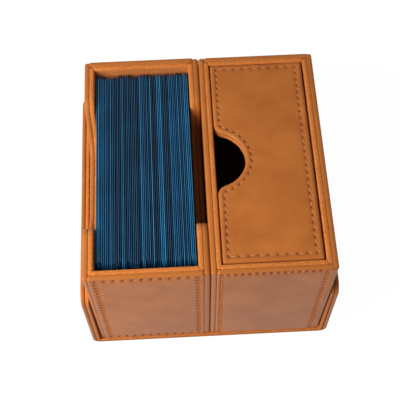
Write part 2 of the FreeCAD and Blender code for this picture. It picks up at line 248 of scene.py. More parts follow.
@dataclass(frozen=True)
class Suede:
    """Split suede with a short sanded nap.

    The nap gives a dry, bright orange with fine speckles where the fibres lie both ways, and a
    faint sheen at a low angle.
    """

    name: str = "sanded_suede_tan"
    fibres: tuple[str, str, str] = ("#B86425", "#D17935", "#E28A46")
    stops: tuple[float, float, float] = (0.36, 0.5, 0.64)
    # The dark colour that paints shade into the lining's creases.
    hollow_shade: str = "#7A3C16"
    nap_mm: float = 0.7
    nap_depth_mm: float = 0.12
    bump: float = 0.4
    brushed_mm: float = 9.0
    brushed_share: float = 0.15

    def make(self) -> Material:
        """Builds the node material.

        Returns:
            The material.
        """
        material, tree = new_material(self.name)
        add = partial(add_node, tree)
        place = add("ShaderNodeTexCoord").outputs["Object"]
        fine = {"Scale": 1 / (self.nap_mm * MM), "Detail": 3.0, "Roughness": 0.7}
        nap = add("ShaderNodeTexNoise", {"Vector": place, **fine})
        slow = {"Scale": 1 / (self.brushed_mm * MM), "Detail": 2.0}
        brushed = add("ShaderNodeTexNoise", {"Vector": place, **slow})
        both = {"Factor": self.brushed_share, "A": nap, "B": brushed}
        mixed = add("ShaderNodeMix", both, data_type="FLOAT")
        colours = add("ShaderNodeValToRGB", {"Fac": mixed})
        ramp(colours, self.stops, self.fibres)
        # Creases, as the mesh's attribute marks them, blend toward this painted shade.
        base = shaded(tree, colours, "hollow_shade", self.hollow_shade)
        surface = {"Base Color": base, "Roughness": 0.94, "IOR": 1.4, "Specular IOR Level": 0.2}
        sheen = {"Sheen Weight": 0.1, "Sheen Roughness": 0.5}
        coat(tree, {**surface, **sheen}, nap, self.bump, self.nap_depth_mm)
        return material


@dataclass(frozen=True)
class Fibrous:
    """What the thread, the card and the paper share: fibres that show as light and dark specks."""

    name: str
    tints: tuple[str, str]
    fibre_mm: float
    roughness: float
    ior: float
    bump: float
    detail: float = 2.0
    coarseness: float = 0.5
    stops: Pair = (0.3, 0.7)

    def make(self) -> Material:
        """Builds the node material.

        Returns:
            The material.
        """
        material, tree = new_material(self.name)
        add = partial(add_node, tree)
        place = add("ShaderNodeTexCoord").outputs["Object"]
        specks = {"Detail": self.detail, "Roughness": self.coarseness}
        size = 1 / (self.fibre_mm * MM)
        fibre = add("ShaderNodeTexNoise", {"Vector": place, "Scale": size, **specks})
        colours = add("ShaderNodeValToRGB", {"Fac": fibre})
        ramp(colours, self.stops, self.tints)
        surface = {"Base Color": colours, "Roughness": self.roughness, "IOR": self.ior}
        coat(tree, surface, fibre, self.bump)
        return material


@dataclass(frozen=True)
class BondedThread(Fibrous):
    """Waxed three-ply polyester sewing thread.

    It gives a rosy tan a little lighter than the leather, with a dull wax shine.
    """

    name: str = "bonded_polyester_thread"
    tints: tuple[str, str] = ("#BA6637", "#CD7E49")
    fibre_mm: float = 0.5
    roughness: float = 0.55
    ior: float = 1.5
    bump: float = 0.4


@dataclass(frozen=True)
class CardStock(Fibrous):
    """Pressed card with a thin varnish: a warm white with a fibrous cut edge."""

    name: str = "varnished_card_stock"
    tints: tuple[str, str] = ("#D9D3C6", "#F1EDE3")
    fibre_mm: float = 0.6
    roughness: float = 0.4
    ior: float = 1.5
    bump: float = 0.0


@dataclass(frozen=True)
class NotchShadePaper(Fibrous):
    """Matt paper round a card tray, dull, with faint fibres; its dark brown is painted shade, so the
    tray looks nearly black inside.
    """

    name: str = "notch_shade_paper_brown"
    tints: tuple[str, str] = ("#6B3D26", "#8C5538")
    fibre_mm: float = 0.9
    roughness: float = 0.85
    ior: float = 1.45
    bump: float = 0.3
    detail: float = 3.0
    coarseness: float = 0.65


@dataclass(frozen=True)
class SleeveFilm:
    """Blue polypropylene film, welded along its edges.

    The film gives a deep petrol blue with a hard shine. Each pocket takes a random tone from nearly
    black to bright, painted highlight and shade for how its edge would take the light.
    """

    name: str = "polypropylene_film_blue"
    tints: tuple[str, str, str, str] = ("#0E2A40", "#184A6C", "#1F6C99", "#3497C9")
    stops: tuple[float, ...] = (0.1, 0.45, 0.75, 1.0)
    wave_mm: float = 14.0
    wave_share: float = 0.3

    def make(self) -> Material:
        """Builds the node material.

        Returns:
            The material.
        """
        material, tree = new_material(self.name)
        add = partial(add_node, tree)
        place = add("ShaderNodeTexCoord").outputs["Object"]
        # A random value for each sleeve paints its edge lighter or darker: painted highlight and
        # shade.
        tint = add("ShaderNodeAttribute", attribute_name="tint").outputs["Fac"]
        slow = {"Vector": place, "Scale": 1 / (self.wave_mm * MM), "Detail": 1.0}
        wave = add("ShaderNodeTexNoise", slow)
        parts = {0: wave, 1: self.wave_share, 2: tint}
        level = add("ShaderNodeMath", parts, operation="MULTIPLY_ADD")
        level = add("ShaderNodeMath", {0: level, 1: self.wave_share / 2}, operation="SUBTRACT")
        colours = add("ShaderNodeValToRGB", {"Fac": level})
        ramp(colours, self.stops, self.tints)
        coat(tree, {"Base Color": colours, "Roughness": 0.3, "IOR": 1.49}, wave, strength=0.0)
        return material


# --- Outlines ------------------------------------------------------------------------------------


def rectangle(x0: float, y0: float, x1: float, y1: float, round_: float = 0.0) -> list[Corner]:
    """Gives a rectangle's corners, counter-clockwise, each with its rounding."""
    return [(x0, y0, round_), (x1, y0, round_), (x1, y1, round_), (x0, y1, round_)]


def left_of(directions: Array) -> Array:
    """Turns plane directions a quarter to the left. On a counter-clockwise line that is inwards."""
    return np.stack([-directions[:, 1], directions[:, 0]], axis=1)


def inward_normals(outline: Array) -> Array:
    """Gives the inward direction at each sample of a closed, counter-clockwise outline.

    Args:
        outline: The samples.

    Returns:
        The unit directions.
    """
    ahead = np.roll(outline, -1, axis=0) - np.roll(outline, 1, axis=0)
    return left_of(ahead / np.linalg.norm(ahead, axis=1)[:, None])


def inset(corners: Sequence[Corner], distances: Sequence[float]) -> list[Corner]:
    """Moves a closed outline's straight sides inwards.

    Args:
        corners: The outline's corners, counter-clockwise.
        distances: How far the side that starts at each corner moves in.

    Returns:
        The corners of the inset outline. A corner that bulges out keeps a smaller rounding, and
        one that points in a larger one.
    """
    points = np.array([c[:2] for c in corners])
    sides = np.roll(points, -1, axis=0) - points
    sides /= np.linalg.norm(sides, axis=1)[:, None]
    normals = left_of(sides)
    moved = []
    for i, point in enumerate(points):
        before = i - 1
        lines = np.array([normals[before], normals[i]])
        offsets = [normals[k] @ point + distances[k] for k in (before, i)]
        x, y = np.linalg.solve(lines, offsets)
        outward = sides[before][0] * sides[i][1] - sides[before][1] * sides[i][0] > 0
        change = -distances[i] if outward else distances[i]
        round_ = max(corners[i][2] + change, 0.0) if corners[i][2] else 0.0
        moved.append((float(x), float(y), round_))
    return moved


def trace(
    corners: Sequence[Corner], step: float, closed: bool = True, least_step: float = 1e-6
) -> Array:
    """Samples an outline with rounded corners.

    Args:
        corners: Place and rounding of each corner.
        step: The longest distance between two samples.
        closed: Whether the last corner joins the first.
        least_step: The distance under which two samples are one.

    Returns:
        The samples.
    """
    count = len(corners)
    raw: list[Array] = []
    for i, (x, y, round_) in enumerate(corners):
        here = np.array([x, y])
        if round_ <= 0 or (not closed and i in (0, count - 1)):
            raw.append(here)
            continue
        back = np.array(corners[i - 1][:2]) - here
        ahead = np.array(corners[(i + 1) % count][:2]) - here
        back /= np.linalg.norm(back)
        ahead /= np.linalg.norm(ahead)
        half = math.acos(float(np.clip(back @ ahead, -1, 1))) / 2
        middle = here + (back + ahead) / np.linalg.norm(back + ahead) * round_ / math.sin(half)
        reach = round_ / math.tan(half)
        first, last = here + back * reach - middle, here + ahead * reach - middle
        u, v = first
        turn = math.atan2(u * last[1] - v * last[0], first @ last)
        parts = max(3, math.ceil(abs(turn) * round_ / step))
        for k in range(parts + 1):
            angle = turn * k / parts
            c, s = math.cos(angle), math.sin(angle)
            raw.append(middle + np.array([u * c - v * s, u * s + v * c]))
    if closed:
        raw.append(raw[0])
    points = [raw[0]]
    for start, end in zip(raw, raw[1:]):
        length = float(np.linalg.norm(end - start))
        if length < least_step:
            continue
        parts = max(1, math.ceil(length / step))
        points += [start + (end - start) * k / parts for k in range(1, parts + 1)]
    return np.array(points[:-1] if closed else points)


def split_at_corners(points: Array, sharp_turn: float = 0.8) -> list[Array]:
    """Cuts a closed line of samples into the runs between its sharp corners.

    Args:
        points: The samples.
        sharp_turn: The least turn, in radians, that counts as a corner.

    Returns:
        The runs in order, each with both of its corners.
    """
    steps = np.roll(points, -1, axis=0) - points
    bearings = np.arctan2(steps[:, 1], steps[:, 0])
    turns = (bearings - np.roll(bearings, 1) + math.pi) % (2 * math.pi) - math.pi
    sharp = [int(i) for i in np.nonzero(np.abs(turns) > sharp_turn)[0]]
    ends = sharp[1:] + [sharp[0] + len(points)]
    return [points[np.arange(start, end + 1) % len(points)] for start, end in zip(sharp, ends)]


def arc(middle: Pair, radius: float, angles: Sequence[float]) -> list[Corner]:
    """Gives plain corners on a circle, one at each angle."""
    x, y = middle
    return [(x + radius * math.cos(a), y + radius * math.sin(a), 0.0) for a in angles]


def notched(
    box: Sides, middle: Pair, radius: float, shoulder: float, round_: float, step: float,
    fewest: tuple[int, int] = (6, 12),
) -> Array:
    """Samples a rectangle with a round notch in its left side.

    Args:
        box: The rectangle's left, lower, right and upper side.
        middle: The centre of the notch's circle.
        radius: The notch's radius.
        shoulder: The rounding where the notch meets the left side.
        round_: The rounding of the rectangle's corners.
        step: The longest distance between two samples.
        fewest: The fewest parts of a shoulder and of the notch.

    Returns:
        The samples, counter-clockwise from the upper left.
    """
    x0, y0, x1, y1 = box
    across = x0 + shoulder - middle[0]
    rise = math.sqrt((radius + shoulder) ** 2 - across**2)
    lean = math.atan2(rise, across)
    parts = max(fewest[0], math.ceil(shoulder * lean / step))
    bend = [math.pi + lean * k / parts for k in range(parts + 1)]
    parts = max(fewest[1], math.ceil(2 * lean * radius / step))
    sweep = [lean - 2 * lean * k / parts for k in range(1, parts)]
    line = [(x0, y1, round_)]
    line += arc((x0 + shoulder, middle[1] + rise), shoulder, bend)
    line += arc(middle, radius, sweep)
    line += arc((x0 + shoulder, middle[1] - rise), shoulder, [-a for a in reversed(bend)])
    return trace(line + rectangle(*box, round_)[:3], step)


def along_path(path: Array, pitch: float) -> Array:
    """Spaces points evenly along a line, with one at each end.

    Args:
        path: The line's samples.
        pitch: The distance between two points, which is rounded to fit the line.

    Returns:
        The points.
    """
    lengths = np.concatenate([[0], np.cumsum(np.linalg.norm(np.diff(path, axis=0), axis=1))])
    count = max(1, round(lengths[-1] / pitch))
    at = np.linspace(0, lengths[-1], count + 1)
    return np.stack([np.interp(at, lengths, path[:, k]) for k in range(path.shape[1])], axis=1)


def headings(path: Array) -> Array:
    """Gives the unit direction of a line at each of its points."""
    steps = np.gradient(path, axis=0)
    return steps / (np.linalg.norm(steps, axis=1)[:, None] + 1e-9)


def nearest_mark(points: Array, marks: Array, batch: int = 2000) -> Array:
    """Finds the mark that lies nearest to each point.

    Args:
        points: The points.
        marks: The marks.
        batch: How many points are measured at once.

    Returns:
        The row number of each point's mark.
    """
    found = np.empty(len(points), int)
    for start in range(0, len(points), batch):
        gaps = points[start : start + batch, None, :] - marks[None, :, :]
        found[start : start + batch] = (gaps**2).sum(axis=2).argmin(axis=1)
    return found


def nearest(points: Array, marks: Array) -> Array:
    """Measures the distance from each point to the nearest mark."""
    return np.linalg.norm(points - marks[nearest_mark(points, marks)], axis=1)


# --- Boards --------------------------------------------------------------------------------------


class Facing(Enum):
    """Which way a board's outer face looks: the directions of its length and of its height."""

    FRONT = ((1, 0, 0), (0, 0, 1))
    BACK = ((-1, 0, 0), (0, 0, 1))
    LEFT = ((0, -1, 0), (0, 0, 1))
    RIGHT = ((0, 1, 0), (0, 0, 1))
    UP = ((1, 0, 0), (0, 1, 0))

    @property
    def axes(self) -> Array:
        """The directions of length, height and outside, one row each."""
        along, up = (np.array(v, float) for v in self.value)
        return np.stack([along, up, np.cross(along, up)])

    @property
    def opposite(self) -> Facing:
        """The way that the face on the other side of an upright board looks."""
        along, up = self.value
        return Facing((tuple(-v for v in along), up))

    @property
    def is_end(self) -> bool:
        """Whether it is a box's front or back."""
        return self in (Facing.FRONT, Facing.BACK)


@dataclass(frozen=True)
class Seat:
    """The box that a board fills in the frame, and the way that its outer face looks."""

    low: Array
    high: Array
    facing: Facing

    @classmethod
    def of(cls, node: str, facing: Facing) -> Seat:
        """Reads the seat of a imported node."""
        low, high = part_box(node)
        return cls(np.array(low) / MM, np.array(high) / MM, facing)

    @property
    def size(self) -> Array:
        """Length, height and thickness of the board."""
        return np.abs(self.facing.axes @ (self.high - self.low))

    def place(self, local: Array) -> Array:
        """Puts points of the board into the frame.

        Args:
            local: Length, height and distance outwards of each point.

        Returns:
            The points in the frame's axes.
        """
        axes = self.facing.axes
        start = np.where(axes.sum(axis=0) > 0, self.low, self.high)
        start = np.where(axes[2] > 0, self.high, np.where(axes[2] < 0, self.low, start))
        return start + local @ axes


@dataclass
class Relief:
    """How a seam shapes the leather.

    The thread pulls a shallow valley along the seam, puckers the leather across it at every hole,
    and an awl's pit takes each stitch's end. Inside the seam the leather sinks a little. The rings
    round each hole and the rows beside each seam place the samples that carry all this. The valley,
    the puckers and the pits are also darkened with painted shade.
    """

    runs: list[Array] = field(default_factory=list)
    pitches: list[float] = field(default_factory=list)
    valley_depth: float = 0.32
    valley_width: float = 0.75
    valley_shade: float = 0.06
    pucker_depth: float = 0.42
    pucker_along: float = 0.7
    pucker_across: float = 1.15
    pucker_shade: float = 0.2
    pit_depth: float = 0.55
    pit_radius: float = 0.46
    pit_shade: float = 0.7
    sink: float = 0.06
    sink_start: float = 2.0
    sink_band: float = 2.0
    edge_band: float = 1.2
    rings: tuple[tuple[float, int], ...] = ((0.5, 6), (1.0, 8), (1.7, 10))
    rows: tuple[float, ...] = (0.0, 0.45, -0.45, 0.9, -0.9, 1.4, -1.4, 2.0, -2.0)
    row_step: float = 0.5
    seam_step: float = 0.2

    def holes(self) -> Array:
        """Places every stitch hole."""
        return np.concatenate([along_path(r, p) for r, p in zip(self.runs, self.pitches)])

    def hole_headings(self) -> Array:
        """Gives the seam's direction at every stitch hole."""
        return np.concatenate([headings(along_path(r, p)) for r, p in zip(self.runs, self.pitches)])

    def extra_points(self) -> Array:
        """Places the samples that carry the valley and the pits.

        Returns:
            The samples, the most needed first.
        """
        holes = self.holes()
        found = [holes]
        for radius, parts in self.rings:
            angles = np.arange(parts) * 2 * math.pi / parts
            ring = np.stack([np.cos(angles), np.sin(angles)], axis=1) * self.pit_radius * radius
            found.append((holes[:, None, :] + ring[None, :, :]).reshape(-1, 2))
        for side in self.rows:
            for run in self.runs:
                fine = along_path(run, self.row_step)
                found.append(fine + left_of(headings(fine)) * side)
        return np.concatenate(found)

    def shape(self, points: Array, inwards: Array) -> tuple[Array, Array]:
        """Gives the depth of the leather and the shade painted into it.

        Args:
            points: Places on the face.
            inwards: Each place's distance from the board's edge.

        Returns:
            How deep each place lies, and how much painted shade it takes, from nought to one.
        """
        if not self.runs:
            return np.zeros(len(points)), np.zeros(len(points))
        line = np.concatenate([along_path(r, self.seam_step) for r in self.runs])
        holes = self.holes()
        which = nearest_mark(points, holes)
        gap = points - holes[which]
        hole = np.linalg.norm(gap, axis=1)
        along = (gap * self.hole_headings()[which]).sum(axis=1)
        across = np.sqrt(np.maximum(hole**2 - along**2, 0))
        valley = np.exp(-((nearest(points, line) / self.valley_width) ** 2))
        pit = np.exp(-((hole / self.pit_radius) ** 2))
        pucker = np.exp(-((along / self.pucker_along) ** 2) - (across / self.pucker_across) ** 2)
        pucker *= np.clip(inwards / self.edge_band, 0, 1)
        middle = self.sink * np.clip((inwards - self.sink_start) / self.sink_band, 0, 1)
        depth = middle + self.valley_depth * valley
        depth += self.pucker_depth * pucker + self.pit_depth * pit
        # The valley, the puckers and the pits are darkened with painted shade.
        darkness = self.valley_shade * valley + self.pucker_shade * pucker
        return depth, np.clip(darkness + self.pit_shade * pit, 0, 1)


@dataclass
class Board:
    """A board wrapped in leather or suede: rounded edges, and a face that may carry seams.

    The edges roll over a reach, and may roll otherwise near the ends and the top. A crown swells
    the middle, a wobble makes the nap uneven, and the creases paint shade along the hidden edges.
    Each
    sample keeps a gap from all earlier ones: on the edge's rings, then on the seam, if any, and the
    grid.
    """

    name: str
    outline: Array
    thickness: float
    edge_round: float
    place: Mapping
    relief: Relief = field(default_factory=Relief)
    edge_reach: float = 1.4
    back_round: float = 0.5
    end_round: float | None = None
    back_end_round: float | None = None
    end_band: float = 1.3
    top_start: float = 0.6
    top_band: float = 2.4
    crown: float = 0.0
    crown_start: float = 1.0
    crown_band: float = 4.0
    spacing: float = 2.0
    wobble: float = 0.0
    # Painted shade along the creases, where the board meets its neighbour.
    creases: Pair = (0.0, 0.0)
    crease_start: float = 0.1
    crease_band: float = 0.2
    # The rolled edges' lighter tone: partly wear, partly painted highlight.
    wear_and_highlight_band: float = 1.5
    wear_and_highlight: float = 0.55
    ring_angles: tuple[int, ...] = (14, 28, 44, 60, 76, 90)
    ring_slack: float = 0.025
    mark_step: float = 0.12
    seam_margin: float = -0.3
    grid_margin: float = 0.35
    ring_gap: float = 0.05
    fill_gaps: Pair = (0.11, 0.3)
    waves: tuple[tuple[float, float, float], ...] = ((2.1, 1.3, 1.7), (1.9, 1.1, 2.3))
    weld_distance: float = 1e-7
    extra: Array | None = None

    @staticmethod
    def rolled(inwards: Array, reach: float, round_: Array | float) -> Array:
        """Gives how far an elliptic edge has dropped at each distance from the outline."""
        share = np.clip(1 - inwards / reach, 0, 1)
        return round_ * (1 - np.sqrt(1 - share**2))

    def rounding(self, points: Array, rim: float, rest: float | None) -> Array | float:
        """Gives the depth of a rolled edge.

        Args:
            points: Places on the face.
            rim: The depth along most of the outline.
            rest: The depth at both ends and at the top, if it is another one.

        Returns:
            The depth at each place.
        """
        if rest is None:
            return rim
        low, high = self.outline.min(axis=0), self.outline.max(axis=0)
        to_end = np.minimum(points[:, 0] - low[0], high[0] - points[:, 0])
        to_top = high[1] - points[:, 1]
        share = np.maximum(1 - to_end / self.end_band, (to_top - self.top_start) / self.top_band)
        return rim + (rest - rim) * np.clip(share, 0, 1)

    def samples(self, fine: bool) -> tuple[Array, Array]:
        """Places the face's samples.

        Args:
            fine: Whether the face carries its relief.

        Returns:
            The places, with the outline's own first, and each one's distance from the edge.
        """
        outline = self.outline
        normals = inward_normals(outline)
        marks = trace([(x, y, 0.0) for x, y in outline], self.mark_step)
        reach = self.edge_reach if fine else self.back_round
        kept = [(outline, np.zeros(len(outline)), 0.0)]
        for angle in self.ring_angles:
            depth = reach * (1 - math.cos(math.radians(angle)))
            ring = outline + normals * depth
            ring = ring[nearest(ring, marks) > depth - self.ring_slack]
            kept.append((ring, np.full(len(ring), depth), self.ring_gap))
        low, high = outline.min(axis=0), outline.max(axis=0)
        counts = np.maximum(2, np.ceil((high - low) / self.spacing)).astype(int)
        lines = [np.linspace(low[k], high[k], counts[k] + 1) for k in (0, 1)]
        grid = np.stack(np.meshgrid(*lines), axis=-1).reshape(-1, 2)
        if self.extra is not None:
            grid = np.concatenate([self.extra, grid])
        groups = [(grid, self.grid_margin)]
        if fine and self.relief.runs:
            groups.insert(0, (self.relief.extra_points(), self.seam_margin))
        for (points, margin), gap in zip(groups, self.fill_gaps):
            gaps = nearest(points, marks)
            inner = (gaps > reach + margin) & self.inside(points)
            kept.append((points[inner], gaps[inner], gap))
        return self.thinned(kept)

    def inside(self, points: Array) -> Array:
        """Tells which points lie within the outline.

        Args:
            points: The points.

        Returns:
            Whether each one lies within.
        """
        found = np.zeros(len(points), bool)
        for (x0, y0), (x1, y1) in zip(self.outline, np.roll(self.outline, -1, axis=0)):
            if y0 != y1:
                crosses = (y0 > points[:, 1]) != (y1 > points[:, 1])
                edge = (x1 - x0) * (points[:, 1] - y0) / (y1 - y0) + x0
                found ^= crosses & (points[:, 0] < edge)
        return found

    @staticmethod
    def thinned(groups: list[tuple[Array, Array, float]], cell: float = 0.3) -> tuple[Array, Array]:
        """Drops each sample that lies too near an earlier one.

        Args:
            groups: Places, depths and least gap of each group of samples. With no gap, all stay.
            cell: The width of the squares that the kept samples are sorted into.

        Returns:
            The kept places and their depths.
        """
        taken: dict[tuple[int, int], list[Pair]] = {}
        points, values = [], []
        for places, depths, gap in groups:
            for (x, y), depth in zip(places.tolist(), depths.tolist()):
                i, j = int(x // cell), int(y // cell)
                cells = [(a, b) for a in (i - 1, i, i + 1) for b in (j - 1, j, j + 1)]
                near = [p for c in cells for p in taken.get(c, ())] if gap else []
                if any((x - u) ** 2 + (y - v) ** 2 < gap * gap for u, v in near):
                    continue
                taken.setdefault((i, j), []).append((x, y))
                points.append((x, y))
                values.append(depth)
        return np.array(points), np.array(values)

    def face(self, points: Array) -> Array:
        """Joins samples into triangles.

        Args:
            points: The samples, with the outline's own first.

        Returns:
            Three sample numbers for each triangle, counter-clockwise seen from outside.
        """
        count = len(self.outline)
        edges = [(i, (i + 1) % count) for i in range(count)]
        found = delaunay_2d_cdt([Vector(p) for p in points], edges, [], 1, self.weld_distance)
        origin = [ids[0] if ids else -1 for ids in found[3]]
        triangles = np.array([[origin[i] for i in tri] for tri in found[2]])
        a, b, c = (points[triangles[:, k]] for k in range(3))
        area = (b - a)[:, 0] * (c - a)[:, 1] - (b - a)[:, 1] * (c - a)[:, 0]
        triangles[area < 0] = triangles[area < 0][:, ::-1]
        return triangles[(triangles >= 0).all(axis=1)]

    def uneven(self, points: Array) -> Array:
        """Gives a nap's slow rise and fall at each point, from minus one to one."""
        pairs = (points.T, points.T[::-1])
        rises = (np.sin(a * u + v * np.sin(b * w)) for (a, b), (u, v, w) in zip(pairs, self.waves))
        return math.prod(rises)

    def build(self, material: Material) -> Piece:
        """Makes the closed board.

        Args:
            material: What the board is wrapped in.

        Returns:
            The board as an object of the scene.
        """
        top, top_in = self.samples(fine=True)
        low, low_in = self.samples(fine=False)
        rims = self.rounding(top, self.edge_round, self.end_round)
        drop = self.rolled(top_in, self.edge_reach, rims)
        depth, hollow_shade = self.relief.shape(top, top_in)
        depth = depth + self.wobble * self.uneven(top) * np.clip(top_in / self.edge_reach, 0, 1)
        rise = np.clip((top_in - self.crown_start) / self.crown_band, 0, 1)
        depth = depth - self.crown * rise * (2 - rise)
        rims = self.rounding(low, self.back_round, self.back_end_round)
        lift = self.rolled(low_in, self.back_round, rims)
        upper = np.column_stack([top, -drop - depth])
        lower = np.column_stack([low, -self.thickness + lift])
        faces = self.face(top).tolist() + (self.face(low)[:, ::-1] + len(top)).tolist()
        count, under = len(self.outline), len(top)
        for i in range(count):
            after = (i + 1) % count
            faces.append([under + i, under + after, after, i])
        mesh = make_mesh(self.name, self.place(np.concatenate([upper, lower])), faces, material)
        inwards = np.concatenate([top_in, low_in])
        # The creases paint shade on each face, growing from a little inside its edge.
        outer, inner = self.creases
        crease = np.concatenate([np.full(len(top), outer), np.full(len(low), inner)])
        crease *= np.clip((inwards - self.crease_start) / self.crease_band, 0, 1)
        # The seam's painted shade and the creases' painted shade are stored together for the
        # material.
        shade = np.maximum(np.concatenate([hollow_shade, np.zeros(len(low))]), crease)
        write_attribute(mesh, "hollow_shade", shade)
        # The rim mark lightens the rolled edges: partly wear, partly painted highlight.
        write_attribute(mesh, "rim", self.wear_and_highlight * np.clip(1 - inwards / self.wear_and_highlight_band, 0, 1) ** 2)
        return add_object(self.name, mesh)


def make_mesh(name: str, points: Array, faces: list[list[int]], material: Material) -> Mesh:
    """Makes a smooth mesh in metres.

    Args:
        name: The mesh's name.
        points: The points in millimetres.
        faces: The point numbers of each face.
        material: The mesh's material.

    Returns:
        The mesh.
    """
    mesh = bpy.data.meshes.new(name)
    mesh.from_pydata((points * MM).tolist(), [], faces)
    mesh.polygons.foreach_set("use_smooth", [True] * len(mesh.polygons))
    mesh.materials.append(material)
    mesh.update()
    return mesh


def write_attribute(mesh: Mesh, name: str, values: Array) -> None:
    """Stores one number for each point of a mesh."""
    layer = mesh.attributes.new(name, "FLOAT", "POINT")
    layer.data.foreach_set("value", values.astype(np.float32))


def add_object(name: str, data: bpy.types.ID) -> Piece:
    """Adds an object to the scene at the origin.

    Args:
        name: The object's name.
        data: Its mesh, camera or light.

    Returns:
        The object.
    """
    piece = bpy.data.objects.new(name, data)
    bpy.context.scene.collection.objects.link(piece)
    return piece


def new_tree(name: str, inputs: Sequence[tuple[str, str, Any]]) -> tuple[Tree, Node]:
    """Starts a Geometry Nodes tree with named inputs and a material.

    Args:
        name: The tree's name.
        inputs: Name, socket type and default value of each input between the two.

    Returns:
        The tree and its input node.
    """
    tree = bpy.data.node_groups.new(name, "GeometryNodeTree")
    tree.interface.new_socket("Geometry", in_out="INPUT", socket_type="NodeSocketGeometry")
    tree.interface.new_socket("Geometry", in_out="OUTPUT", socket_type="NodeSocketGeometry")
    for label, kind, value in inputs:
        socket = tree.interface.new_socket(label, in_out="INPUT", socket_type=kind)
        socket.default_value = value
    tree.interface.new_socket("Material", in_out="INPUT", socket_type="NodeSocketMaterial")
    return tree, add_node(tree, "NodeGroupInput")


def end_tree(tree: Tree, instances: Node, group: Node) -> None:
    """Ends a tree: instances become real, get smooth faces and take the material.

    Args:
        tree: The node tree.
        instances: The node that gives the instances.
        group: The tree's input node.
    """
    real = add_node(tree, "GeometryNodeRealizeInstances", {"Geometry": instances})
    smooth = add_node(tree, "GeometryNodeSetShadeSmooth", {"Geometry": real})
    paint = {"Geometry": smooth, "Material": group.outputs["Material"]}
    dressed = add_node(tree, "GeometryNodeSetMaterial", paint)
    add_node(tree, "NodeGroupOutput", {"Geometry": dressed})


def grow(name: str, mesh: Mesh, tree: Tree, material: Material) -> Piece:
    """Runs a Geometry Nodes tree on a mesh and keeps what it makes as a plain mesh.

    Args:
        name: The name of the finished piece.
        mesh: What the tree starts from.
        tree: The tree.
        material: The piece's material.

    Returns:
        The finished piece, at the origin.
    """
    seed = add_object(name + "_seed", mesh)
    modifier = seed.modifiers.new(name, "NODES")
    modifier.node_group = tree
    sockets = {item.name: item.identifier for item in tree.interface.items_tree}
    modifier[sockets["Material"]] = material
    graph = bpy.context.evaluated_depsgraph_get()
    graph.update()
    grown = bpy.data.meshes.new_from_object(seed.evaluated_get(graph), depsgraph=graph)
    grown.name = name
    bpy.data.objects.remove(seed)
    return add_object(name, grown)


# --- Stitching -----------------------------------------------------------------------------------


